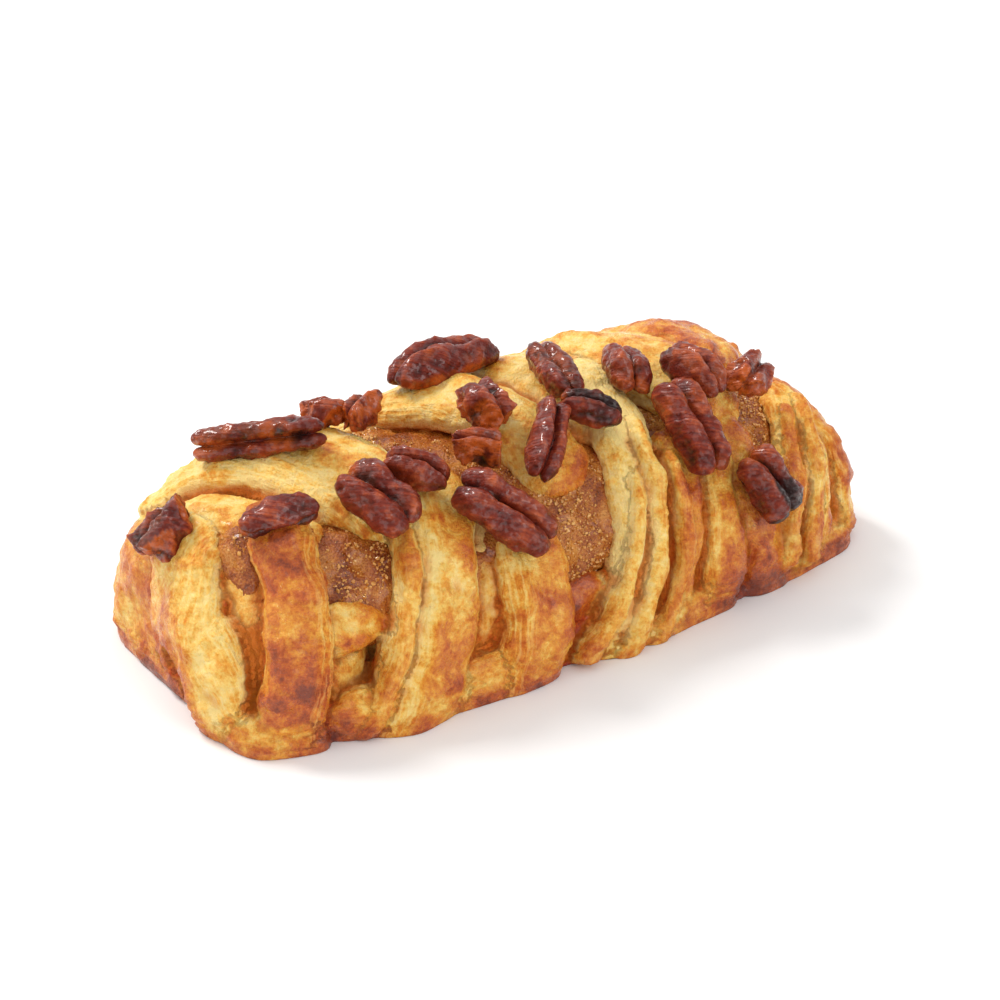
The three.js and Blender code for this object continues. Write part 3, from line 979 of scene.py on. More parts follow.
TOAST_SPOTS: tuple[ToastSpot, ...] = (
    ToastSpot(-65, 54, 7, 0.22),
    ToastSpot(-69, 38, 6, 0.2),
    ToastSpot(-72, 20, 7, 0.34),
    ToastSpot(-67, 5, 6, 0.26),
    ToastSpot(-86, 2, 7, 0.16),
    ToastSpot(-96, 60, 8, 0.2),
    ToastSpot(-100, 112, 16, 0.22),
    ToastSpot(-52, 61, 8, 0.18),
    ToastSpot(-47, 44, 6, 0.22),
    ToastSpot(-58, 5, 9, 0.16),
    ToastSpot(-57, 36, 6, -0.05),
    ToastSpot(-33, 16, 8, 0.28),
    ToastSpot(-28, 30, 5, 0.1),
    ToastSpot(-41, 36, 8, -0.12),
    ToastSpot(-19, 19, 6, 0.2),
    ToastSpot(-21, 1, 8, 0.24),
    ToastSpot(7, 52, 6, 0.4),
    ToastSpot(-4, 13, 7, 0.3),
    ToastSpot(14, 34, 8, -0.14),
    ToastSpot(19, 62, 8, -0.14),
    ToastSpot(24, 25, 5, 0.2),
    ToastSpot(30, 36, 5, 0.3),
    ToastSpot(36, 12, 9, 0.14),
    ToastSpot(11, 1, 8, 0.12),
    ToastSpot(66, 17, 10, 0.06),
    ToastSpot(71, 3, 10, 0.2),
    ToastSpot(56, 96, 12, 0.2),
    ToastSpot(50, 60, 8, 0.16),
    ToastSpot(45, 6, 8, 0.14),
    ToastSpot(48, 22, 6, 0.14),
    ToastSpot(30, 50, 5, 0.2),
    ToastSpot(-12, 2, 6, 0.16),
    ToastSpot(14, 104, 12, -0.08),
    ToastSpot(-4, 105, 12, -0.06),
    ToastSpot(-20, 40, 7, -0.05),
)


@dataclass(frozen=True)
class Mound:
    """A rounded block of dough standing on the table, in mm."""

    x: float
    y: float
    half_long: float
    half_wide: float
    high: float


@dataclass
class Shells:
    """Closed shells gathered with the numbers their points carry."""

    points: list[np.ndarray] = field(default_factory=list)
    faces: list[np.ndarray] = field(default_factory=list)
    facts: list[np.ndarray] = field(default_factory=list)
    count: int = 0

    def add(self, points: np.ndarray, faces: np.ndarray, facts: np.ndarray) -> None:
        """Add one shell.

        Args:
            points: Its points in mm.
            faces: Its triangles.
            facts: One row of numbers a point.
        """
        self.points.append(points)
        self.faces.append(faces + self.count)
        self.facts.append(facts)
        self.count += len(points)

    def joined(self) -> tuple[np.ndarray, np.ndarray, np.ndarray]:
        """Give all points, triangles and facts as three tables."""
        return np.vstack(self.points), np.vstack(self.faces), np.vstack(self.facts)


class Fact(IntEnum):
    """Columns of the numbers that each point of the dough carries."""

    ALONG = 0  # mm from the strip's foot
    SIDE = 1  # mm from its middle line
    DEPTH = 2  # mm below its face
    STRIP = 3  # its number
    CUT = 4  # how openly its leaves lie
    TOAST = 5  # how much browner it is than the rest
    OFF = 6  # mm off the loaf's skin


def flank_share(facts: np.ndarray) -> np.ndarray:
    """Give 0 on a strip's face and 1 down its flank, where its layers show."""
    return smoothstep(0.9, 3.2, facts[:, Fact.DEPTH])


@dataclass(frozen=True)
class Relief:
    """How the crust swells, blisters and flakes, in mm."""

    seed: int = 11
    ridge: float = 0.55
    ridge_range: tuple[float, float] = (-2.4, 1.6)
    swell: float = 0.4
    swell_mm: float = 8.0
    blister: float = 0.44
    blister_mm: float = 2.6
    warp: float = 1.1
    warp_mm: float = 9.0
    leaf_mm: float = 1.9  # from one open leaf to the next
    leaf_shares: tuple[float, float] = (0.72, 0.28)  # of it, sloping up and down
    leaf: float = 0.6
    fine: float = 0.3
    fine_mm: float = 1.5
    flake: float = 0.3
    flake_mm: float = 6.0
    rim: float = 0.55
    rim_mm: float = 2.1  # from one layer of the base to the next
    rim_shares: tuple[float, float] = (0.7, 0.3)
    sink: float = 0.2  # keeps the mean of it all on the strips' faces

    def move(
        self, points: np.ndarray, normals: np.ndarray, facts: np.ndarray, stand: np.ndarray
    ) -> np.ndarray:
        """Work out how far each point of the crust swells or sinks.

        Args:
            points: The crust's points.
            normals: Their normals.
            facts: Their facts.
            stand: How far each stands off the crust round it, mm.

        Returns:
            The move along the normal, in mm.
        """
        grain = GrainField(self.seed)
        height = points[:, 2]
        open_leaves = np.clip(np.maximum(facts[:, Fact.CUT], flank_share(facts) * 0.8), 0, 1)
        crust = 1 - open_leaves
        ridge = np.clip(stand, *self.ridge_range) * self.ridge
        swell = self.swell * grain.rough(points, self.swell_mm, 2)
        blister = self.blister * grain.rough(points + 50, self.blister_mm, 3) * (0.4 + 0.6 * crust)
        warp = grain.rough(points + 90, self.warp_mm, 2)
        phase = facts[:, Fact.STRIP] * 2.1
        lie = facts[:, Fact.SIDE] + 0.6 * facts[:, Fact.DEPTH] + self.warp * warp
        terrace = self.saw((lie / self.leaf_mm + phase) % 1.0, *self.leaf_shares)
        ragged = 0.65 + 0.5 * grain.at(points * np.array([0.5, 0.5, 0.3]) + 30, 3.0)
        fine = grain.rough(points + 31, self.fine_mm, 2)
        leaves = (self.leaf * terrace * ragged + self.fine * fine) * open_leaves
        flake = grain.rough(points * np.array([0.6, 0.6, 1.2]) + 140, self.flake_mm, 3)
        step = self.flake * (smoothstep(0.26, 0.32, flake) + smoothstep(0.52, 0.57, flake))
        low = (height / self.rim_mm + 0.9 * grain.rough(points + 170, 12.0, 2)) % 1.0
        rim = self.rim * self.saw(low, *self.rim_shares) * smoothstep(11.0, 2.0, height)
        ground = smoothstep(0.0, 2.5, height)
        under = smoothstep(0.6, 0.95, np.abs(normals[:, 2])) * (height < 1.2)
        move = ridge + swell + blister + leaves + step + rim
        return (move - self.sink) * np.maximum(ground, 0.2) * (1 - under)

    @staticmethod
    def saw(phase: np.ndarray, rise: float, fall: float) -> np.ndarray:
        """Climb from -0.5 to 0.5 over the share rise of each step, and drop over fall."""
        return np.where(phase < rise, phase / rise, (1 - phase) / fall) - 0.5


@dataclass(frozen=True)
class Browning:
    """How brown the oven has left the crust, from 0 to 1."""

    seed: int = 23
    mean: float = 0.36
    crest: float = 0.27  # more where the crust bulges
    hollow: float = 0.1  # less where it sinks
    mottle: float = 0.2
    foot: float = 0.15  # more towards the base
    layers: float = 0.15  # less where the layers lie open
    ragged: float = 2.2  # how far the patches' edges stray, mm

    def toast(
        self, points: np.ndarray, facts: np.ndarray, bulge: np.ndarray, centres: np.ndarray
    ) -> np.ndarray:
        """Work out how brown each point of the crust is.

        Args:
            points: The crust's points.
            facts: Their facts.
            bulge: How far each stands off its surroundings, mm.
            centres: The places of TOAST_SPOTS.

        Returns:
            0 for pale to 1 for dark.
        """
        grain = GrainField(self.seed)
        open_leaves = np.maximum(facts[:, Fact.CUT], flank_share(facts))
        value = self.mean + facts[:, Fact.TOAST]
        value += self.crest * smoothstep(-0.1, 1.0, bulge) - self.hollow * smoothstep(
            -0.1, -1.2, bulge
        )
        mottle = grain.rough(points, 10.0, 3) + 0.7 * grain.rough(points + 40, 3.2, 2)
        value += self.mottle * mottle * (1 - 0.6 * open_leaves)
        low = smoothstep(8.0, 0.5, points[:, 2])
        value += self.foot * low * (0.5 + 1.1 * grain.at(points + 60, 7.0))
        value -= self.layers * open_leaves
        stray = np.stack([grain.at(points + k, 4.0) for k in (5, 25, 45)], axis=1)
        strayed = points + self.ragged * stray
        for centre, spot in zip(centres, TOAST_SPOTS, strict=True):
            far = np.linalg.norm(strayed - centre, axis=1) / spot.reach
            value += spot.amount * np.exp(-(far**2))
        return np.clip(value, 0.0, 1.0)


@dataclass
class Dough:
    """The baked dough: strips, tongues, leaves, ends and base fused to one crust."""

    skin: LoafSkin
    finish: CrustFinish
    relief: Relief = Relief()
    browning: Browning = Browning()
    root: float = -10.5  # a strip's inner face below the skin
    square: float = 3.1  # squareness of a strip's section below its widest level
    round: float = 2.3  # and above it
    puff: float = 0.7
    voxel: float = 0.52
    sway: float = 1.3
    sway_mm: float = 11.0
    sway_seed: int = 7
    around: int = 64
    along: int = 84
    leaf_around: int = 20
    leaf_along: int = 40
    leaf_number: int = 31  # the first leaf's number; the strips' are from 1
    mound_number: int = 41
    core_number: int = 49
    core_floor: float = 2.0
    end_crowd: float = 0.12  # draws a strip's rings towards its two ends
    edge_crowd: float = 0.4  # draws their points towards its edges
    swell: float = 0.05
    nudge: float = 0.01  # share of a strip to each side, for its direction
    narrowest: float = 0.2  # mm per degree of turn at least
    degree_mm: float = 0.75  # mm per degree of turn, for a strip's length
    cut_edge: float = 0.12  # softness of a cut's edge, as a share of the width
    most: int = 196000
    mounds: tuple[Mound, ...] = (
        Mound(0, -2, 80, 38.5, 15),
        Mound(-64, 1, 18, 35, 36),
        Mound(-69.4, 11.6, 12.3, 20, 29),
        Mound(64, 0, 18, 34, 31),
    )
    core: Mound = Mound(0, -2, 69, 30.5, 37.5)
    mound_rings: tuple[int, int] = (72, 60)
    mound_long: float = 3.2  # squareness of a mound along the loaf
    mound_round: float = 2.6  # and of its section

    def strip_shell(
        self, strip: Strip, number: int, shells: Shells, around: int, along: int
    ) -> None:
        """Build one strip's closed shell.

        Args:
            strip: The strip.
            number: Its place in the list, which seeds its swelling.
            shells: Where it is kept.
            around: Points round its section.
            along: Steps from foot to tip.
        """
        pole, angle, faces = sphere_rings(around, along)
        t = pole - self.end_crowd * np.sin(2 * np.pi * pole)
        q = angle + self.edge_crowd * np.cos(angle)
        taper = np.maximum(1 - np.abs(2 * t - 1) ** 8, 0) ** 0.25
        runs = (strip.foot[0], strip.mid[0], strip.tip[0])
        turns = (strip.foot[1], strip.mid[1], strip.tip[1])
        flip = -1 if strip.tip[1] < strip.foot[1] else 1
        run = through(runs, t)
        turn = through(turns, t)
        ahead = np.minimum(t + self.nudge, 1)
        behind = np.maximum(t - self.nudge, 0)
        per_degree = self.skin.frame(run, turn)[3]
        d_run = through(runs, ahead) - through(runs, behind)
        d_turn = (through(turns, ahead) - through(turns, behind)) * per_degree
        size = np.hypot(d_run, d_turn)
        swell = 1 + self.swell * bumps(number + 7, t * 2, 0 * t)
        width = 0.5 * through(strip.wide, t) * swell * taper
        up = np.sin(q)
        power = np.where(up > 0, self.round, self.square)
        side = width * signed_power(np.cos(q), 2 / power)
        face = through(strip.rise, t)
        middle = 0.5 * (face + self.root)
        deep = 0.5 * (face - self.root) * taper
        share = side / np.maximum(width, 1e-6)
        puff = np.where(up > 0, self.puff * bumps(number, t * 1.6, side * 0.12) * up, 0)
        off = middle + deep * signed_power(up, 2 / power)
        off += puff * taper
        side_run = run + flip * side * d_turn / size
        side_turn = turn - flip * side * d_run / size / np.maximum(per_degree, self.narrowest)
        point, normal = self.skin.frame(side_run, side_turn)[:2]
        length = t * math.hypot(
            strip.tip[0] - strip.foot[0], (strip.tip[1] - strip.foot[1]) * self.degree_mm
        )
        start, end, openness = strip.cut
        cut = smoothstep(-self.cut_edge, self.cut_edge, share - start)
        cut *= smoothstep(-self.cut_edge, self.cut_edge, end - share)
        cut *= openness
        facts = np.stack(
            [
                length,
                side,
                face - off,
                np.full_like(t, number),
                cut,
                np.full_like(t, strip.toast),
                off,
            ],
            axis=1,
        )
        shells.add(point + normal * off[:, None], faces, facts)

    def mound_shell(self, mound: Mound, number: int, shells: Shells, floor: float = 0.0) -> None:
        """Build one mound's closed shell.

        Args:
            mound: The mound.
            number: Its number as a strip.
            shells: Where it is kept.
            floor: Height of its flat underside.
        """
        pole, angle, faces = sphere_rings(*self.mound_rings)
        length = signed_power(np.cos(np.pi * pole), 2 / self.mound_long)
        girth = np.maximum(np.sin(np.pi * pole), 0) ** (2 / self.mound_long)
        wide = signed_power(np.cos(angle), 2 / self.mound_round)
        tall = signed_power(np.sin(angle), 2 / self.mound_round)
        z = np.maximum(mound.high * girth * tall, floor)
        points = np.stack(
            [mound.x + mound.half_long * length, mound.y + mound.half_wide * girth * wide, z],
            axis=1,
        )
        facts = np.stack(
            [
                points[:, 1],
                points[:, 0],
                np.full_like(z, 0.5),
                np.full_like(z, number),
                np.full_like(z, 0.2),
                np.full_like(z, 0.02),
                np.full_like(z, -3.0),
            ],
            axis=1,
        )
        shells.add(points, faces, facts)

    def shells(self) -> Shells:
        """Gather every shell of the dough.

        Returns:
            The shells of the strips, leaves, ends, base and core.
        """
        shells = Shells()
        for number, strip in enumerate(STRIPS, start=1):
            self.strip_shell(strip, number, shells, self.around, self.along)
        for number, leaf in enumerate(LEAVES, start=self.leaf_number):
            self.strip_shell(leaf, number, shells, self.leaf_around, self.leaf_along)
        for number, mound in enumerate(self.mounds, start=self.mound_number):
            self.mound_shell(mound, number, shells)
        self.mound_shell(self.core, self.core_number, shells, self.core_floor)
        return shells

    def carry_facts(
        self, points: np.ndarray, tables: tuple[np.ndarray, np.ndarray, np.ndarray]
    ) -> np.ndarray:
        """Find, for each point of the fused crust, the numbers of the shell it came from.

        Args:
            points: The crust's points.
            tables: The shells' points, triangles and facts.

        Returns:
            One row of facts a point.
        """
        raw, faces, facts = tables
        tree = BVHTree.FromPolygons(raw.tolist(), faces.tolist())
        spots = np.empty_like(points)
        owners = np.empty(len(points), dtype=int)
        for i, p in enumerate(points.tolist()):
            near, _, index, _ = tree.find_nearest(p)
            spots[i] = near
            owners[i] = index
        a, b, c = (raw[faces[owners, k]] for k in range(3))
        ab, ac, ap = b - a, c - a, spots - a
        d00 = np.sum(ab * ab, 1)
        d01 = np.sum(ab * ac, 1)
        d11 = np.sum(ac * ac, 1)
        d20 = np.sum(ap * ab, 1)
        d21 = np.sum(ap * ac, 1)
        denom = np.maximum(d00 * d11 - d01 * d01, TINY)
        v = np.clip((d11 * d20 - d01 * d21) / denom, 0, 1)
        w = np.clip((d00 * d21 - d01 * d20) / denom, 0, 1)
        u = np.clip(1 - v - w, 0, 1)
        return (
            facts[faces[owners, 0]] * u[:, None]
            + facts[faces[owners, 1]] * v[:, None]
            + facts[faces[owners, 2]] * w[:, None]
        )

    def wobble(self, points: np.ndarray, way: float = 1.0) -> np.ndarray:
        """Push the crust about a little, so that no strip runs evenly.

        Args:
            points: The crust's points.
            way: 1 to push, -1 to go back.

        Returns:
            The moved points.
        """
        grain = GrainField(self.sway_seed)
        sway = np.stack([grain.rough(points + k, self.sway_mm, 2) for k in (0, 33, 66)], axis=1)
        lifted = smoothstep(0.0, 6.0, points[:, 2])[:, None]
        return points + way * self.sway * sway * np.array([1.0, 0.8, 0.5]) * lifted

    def build(self) -> bpy.types.Object:
        """Build the crust and dress it.

        Returns:
            The crust.
        """
        tables = self.shells().joined()
        piece = make_object("dough_crust", *tables[:2])
        remesh(piece, self.voxel)
        self.shape(piece.data, tables)
        thin_out(piece, self.most)
        self.describe(piece.data, tables)
        piece.data.materials.append(self.finish.build())
        smooth_shade(piece.data)
        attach(piece, "root")
        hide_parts("dough")
        LOG.info("%s: %d faces", piece.name, len(piece.data.polygons))
        return piece

    def shape(
        self, mesh: bpy.types.Mesh, tables: tuple[np.ndarray, np.ndarray, np.ndarray]
    ) -> None:
        """Give the fused crust its sway and relief.

        Args:
            mesh: The crust's mesh, changed in place.
            tables: The shells' points, triangles and facts.
        """
        edges = read_edges(mesh)
        points = relax(read_points(mesh), edges, 2, 0.5)
        write_points(mesh, points)
        facts = self.carry_facts(points, tables)
        normals = read_normals(mesh)
        points = self.wobble(points)
        off = facts[:, Fact.OFF]
        stand = relax(off, edges, 3) - relax(off, edges, 160, 0.7)
        move = self.relief.move(points, normals, facts, stand)
        points = points + normals * move[:, None]
        points[:, 2] = np.maximum(points[:, 2], 0.0)
        write_points(mesh, points)

    def describe(
        self, mesh: bpy.types.Mesh, tables: tuple[np.ndarray, np.ndarray, np.ndarray]
    ) -> None:
        """Keep on the thinned crust the numbers that its material reads.

        Args:
            mesh: The crust's mesh.
            tables: The shells' points, triangles and facts.
        """
        points = read_points(mesh)
        points[:, 2] = np.maximum(points[:, 2], 0.0)
        write_points(mesh, points)
        edges = read_edges(mesh)
        normals = read_normals(mesh)
        facts = self.carry_facts(self.wobble(points, -1.0), tables)
        calm = relax(points, edges, 40, 0.6)
        bulge = relax(np.sum((points - calm) * normals, axis=1), edges, 3)
        off = facts[:, Fact.OFF]
        # painted shade, strongest where the crust sinks below the strips round it or dips into a
        # crease
        sunk = relax(off, edges, 140, 0.7) - off
        painted_fold_shade = smoothstep(0.3, 2.8, sunk) + 0.7 * smoothstep(0.08, 0.6, -bulge)
        runs = np.array([s.run for s in TOAST_SPOTS], dtype=float)
        turns = np.array([s.turn for s in TOAST_SPOTS], dtype=float)
        toast = self.browning.toast(points, facts, bulge, self.skin.point(runs, turns))
        layered = np.maximum(facts[:, Fact.CUT], flank_share(facts))
        store(mesh, "painted_fold_shade", relax(np.clip(painted_fold_shade, 0, 1), edges, 2))
        store(mesh, "toast", relax(toast, edges, 1))
        store(mesh, "along", facts[:, Fact.ALONG])
        store(mesh, "side", facts[:, Fact.SIDE])
        store(mesh, "depth", facts[:, Fact.DEPTH])
        store(mesh, "strip", facts[:, Fact.STRIP])
        store(mesh, "layered", relax(layered, edges, 1))


# ---------------------------------------------------------------- filling


@dataclass
class Filling:
    """Sugar and nut paste through the loaf, with coarse sugar where it shows."""

    skin: LoafSkin
    finish: FillingFinish
    sugar: SugarFinish
    depth: float = 8.0
    half: float = 70.0
    middle: float = 17.0
    floor: float = 10.0
    lump: tuple[float, float, float, float, float] = (-69, -11, 9, 12, 40)
    voxel: float = 0.8
    grains: int = 2600
    seed: int = 5
    lump_seed: int = 37
    body_rings: tuple[int, int] = (160, 150)
    slot_rings: tuple[int, int] = (60, 50)
    most: int = 150000
    smallest: float = 0.13  # the finest grain of sugar, mm
    coarser: float = 0.34  # how much larger the coarsest is, mm
    aside: float = 0.4  # how far grains stray from the paste's points, mm
    sight: float = 30.0  # dough within this reach hides the paste, mm

    def body_shell(self, shells: Shells) -> None:
        """Add the long body of paste.

        Args:
            shells: Collects the shells.
        """
        pole, angle, faces = sphere_rings(*self.body_rings)
        length = signed_power(np.cos(np.pi * pole), 2 / 4)
        girth = np.maximum(np.sin(np.pi * pole), 0) ** (2 / 5)
        y = signed_power(np.cos(angle), 2 / self.skin.section_power)
        z = signed_power(np.sin(angle), 2 / self.skin.section_power)
        turned = np.where(angle > np.pi, angle - 2 * np.pi, angle)
        lump = 1 + 0.025 * bumps(3, length * 9, turned * 2)
        top = self.skin.high - self.depth - self.middle
        reach = np.where(z > 0, top, self.middle - self.floor)
        wide = self.skin.wide - self.depth
        points = np.stack(
            [
                self.half * length,
                self.skin.back + wide * lump * girth * y,
                self.middle + reach * lump * girth * z,
            ],
            axis=1,
        )
        shells.add(points, faces, np.zeros((len(points), 1)))

    def slot_shell(self, shells: Shells) -> None:
        """Add the lump that pushes up into the near end's slot.

        Args:
            shells: Collects the shells.
        """
        pole, angle, faces = sphere_rings(*self.slot_rings)
        x, y, half_long, half_wide, high = self.lump
        girth = np.maximum(np.sin(np.pi * pole), 0) ** 0.8
        points = np.stack(
            [
                x + half_long * np.cos(np.pi * pole),
                y + half_wide * girth * np.cos(angle),
                self.middle + (high - self.middle) * girth * np.maximum(np.sin(angle), 0),
            ],
            axis=1,
        )
        shells.add(points, faces, np.zeros((len(points), 1)))

    def build(self, dough: bpy.types.Object) -> bpy.types.Object:
        """Build the paste and its sugar.

        Args:
            dough: The crust, which hides most of the paste.

        Returns:
            The paste.
        """
        shells = Shells()
        self.body_shell(shells)
        self.slot_shell(shells)
        raw, faces, _ = shells.joined()
        piece = make_object("filling_paste", raw, faces)
        remesh(piece, self.voxel)
        mesh = piece.data
        points = read_points(mesh)
        points = relax(points, read_edges(mesh), 2)
        write_points(mesh, points)
        normals = read_normals(mesh)
        grain = GrainField(self.lump_seed)
        lumps = 0.9 * grain.rough(points, 5.0, 3) + 0.35 * np.abs(grain.at(points, 1.5))
        write_points(mesh, points + normals * lumps[:, None])
        thin_out(piece, self.most)
        mesh = piece.data
        mesh.materials.append(self.finish.build())
        smooth_shade(mesh)
        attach(piece, "root")
        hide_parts("filling")
        LOG.info("%s: %d faces", piece.name, len(mesh.polygons))
        self.scatter_sugar(piece, dough)
        return piece

    def scatter_sugar(self, paste: bpy.types.Object, dough: bpy.types.Object) -> None:
        """Lay coarse sugar on the paste where no dough lies over it.

        Args:
            paste: The paste.
            dough: The crust.
        """
        crust = BVHTree.FromPolygons(
            [v.co for v in dough.data.vertices], [p.vertices for p in dough.data.polygons]
        )
        points = read_points(paste.data)
        normals = read_normals(paste.data)
        rng = np.random.default_rng(self.seed)
        order = rng.permutation(len(points))
        heaps = smoothstep(-0.75, 0.3, GrainField(self.seed + 1).rough(points, 4.5, 2))
        shape, faces = self.grain_shape()
        shells = Shells()
        kept = 0
        for i in order.tolist():
            if kept >= self.grains:
                break
            if points[i, 2] < self.middle or rng.uniform() > heaps[i]:
                continue
            start = Vector((points[i] + CENTRE_SHIFT) * MM)
            out = Vector(normals[i])
            if crust.ray_cast(start - out * 2.5 * MM, out, self.sight * MM)[0] is not None:
                continue
            size = self.smallest + self.coarser * rng.uniform() ** 2
            stretch = rng.uniform(0.7, 1.2, 3) * size
            turn = rng.normal(size=(3, 3))
            axes, _ = np.linalg.qr(turn)
            rough = shape * (1 + 0.22 * rng.normal(size=(len(shape), 1)))
            aside = np.cross(normals[i], rng.normal(size=3)) * self.aside
            spot = points[i] + aside + normals[i] * size * 0.3
            shells.add((rough * stretch) @ axes + spot, faces, np.zeros((len(shape), 1)))
            kept += 1
        if not shells.points:
            return
        raw, tris, _ = shells.joined()
        sugar = make_object("coarse_sugar", raw, tris)
        sugar.data.materials.append(self.sugar.build())
        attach(sugar, "root")
        LOG.info("%s: %d grains", sugar.name, kept)

    @staticmethod
    def grain_shape() -> tuple[np.ndarray, np.ndarray]:
        """Lay out one grain as a small ball of rings.

        Returns:
            Its points and faces.
        """
        pole, angle, faces = sphere_rings(6, 4)
        a = np.pi * pole
        ball = np.stack(
            [np.cos(a), np.sin(a) * np.cos(angle), np.sin(a) * np.sin(angle)], axis=1
        )
        return ball, faces


# ---------------------------------------------------------------- pecans


class NutForm(Enum):
    """How whole a nut is."""

    HALF = "half"
    CHUNK = "chunk"


@dataclass(frozen=True)
class Pecan:
    """One nut: its place on the skin, its turn, size and how much of the half is left."""

    at: tuple[float, float]
    heading: float
    long: float
    wide: float
    high: float
    lift: float
    roll: float = 0.0
    start: float = 0.0
    end: float = 1.0
    char: float = 0.0
    form: NutForm = NutForm.HALF
    warm: float = 0.1


PECANS: tuple[Pecan, ...] = (
    Pecan((-80, 96), -13, 17, 12, 9, 3, 165, 0, 0.75, 0.15, NutForm.CHUNK, 0.3),
    Pecan((-64, 67), -14, 17, 8.5, 7, 3.2, -70, 0, 0.85, 0.0),
    Pecan((-54, 101), -42, 29, 9.5, 8, 3.4, -105, 0, 1, 0.0, NutForm.HALF, 0.3),
    Pecan((-37, 106), -40, 12, 9, 7, 2.2, 0, 0.1, 0.6, 0.0, NutForm.CHUNK, 0.7),
    Pecan((-30, 99), 20, 12, 9, 7, 2.2, 0, 0.3, 0.9, 0.0, NutForm.CHUNK, 0.8),
    Pecan((-44, 60), -67, 18, 14, 9, 3.5, 0, 0, 0.8, 0.1),
    Pecan((-33, 64), -46, 14, 9, 8, 3.5, 0, 0, 0.7, 0.0),
    Pecan((-19, 46), -50, 24, 14, 10, 4, 0, 0, 1, 0.1),
    Pecan((-3, 110), -1, 27, 12, 8.5, 4.6, 0, 0, 1, 0.0, NutForm.HALF, 0.9),
    Pecan((-8, 77), -88, 14, 12, 9, 3.5, 0, 0.1, 0.6, 0.0, NutForm.CHUNK, 0.2),
    Pecan((-17, 66), -33, 15, 9, 7, 3, 0, 0.2, 0.8, 0.0, NutForm.CHUNK, 0.7),
    Pecan((-1, 61), 49, 22, 9.5, 8.5, 3.5, 10, 0, 1, 0.1),
    Pecan((13, 84), -104, 21, 9.5, 7.5, 4, 180, 0, 0.9, 0.2),
    Pecan((12, 65), -40, 14, 7.5, 7, 4.5, 0, 0.2, 0.8, 0.5),
    Pecan((28, 76), 73, 13.5, 10.5, 8, 3.5, 0, 0, 0.8, 0.1, NutForm.HALF, 0.25),
    Pecan((42, 68), -74, 16, 11, 8.5, 3.5, 0, 0, 0.7, 0.3, NutForm.HALF, 0.5),
    Pecan((33, 52), -88, 23, 13.5, 10, 4, 0, 0, 1, 0.05, NutForm.HALF, 0.35),
    Pecan((55, 62), 28, 14, 11, 8, 3, 0, 0.1, 0.7, 0.2, NutForm.CHUNK, 0.4),
    Pecan((47, 32), -66, 17, 13, 9, 3.5, 0, 0.1, 0.9, 0.55),
    Pecan((-46, 160), 35, 24, 13, 9, 4, 0, 0, 1, 0.0),
    Pecan((-2, 166), -20, 18, 12, 9, 3.5, 0, 0, 0.75, 0.0),
    Pecan((38, 162), 60, 24, 13, 9, 4, 0, 0, 1, 0.1),
)


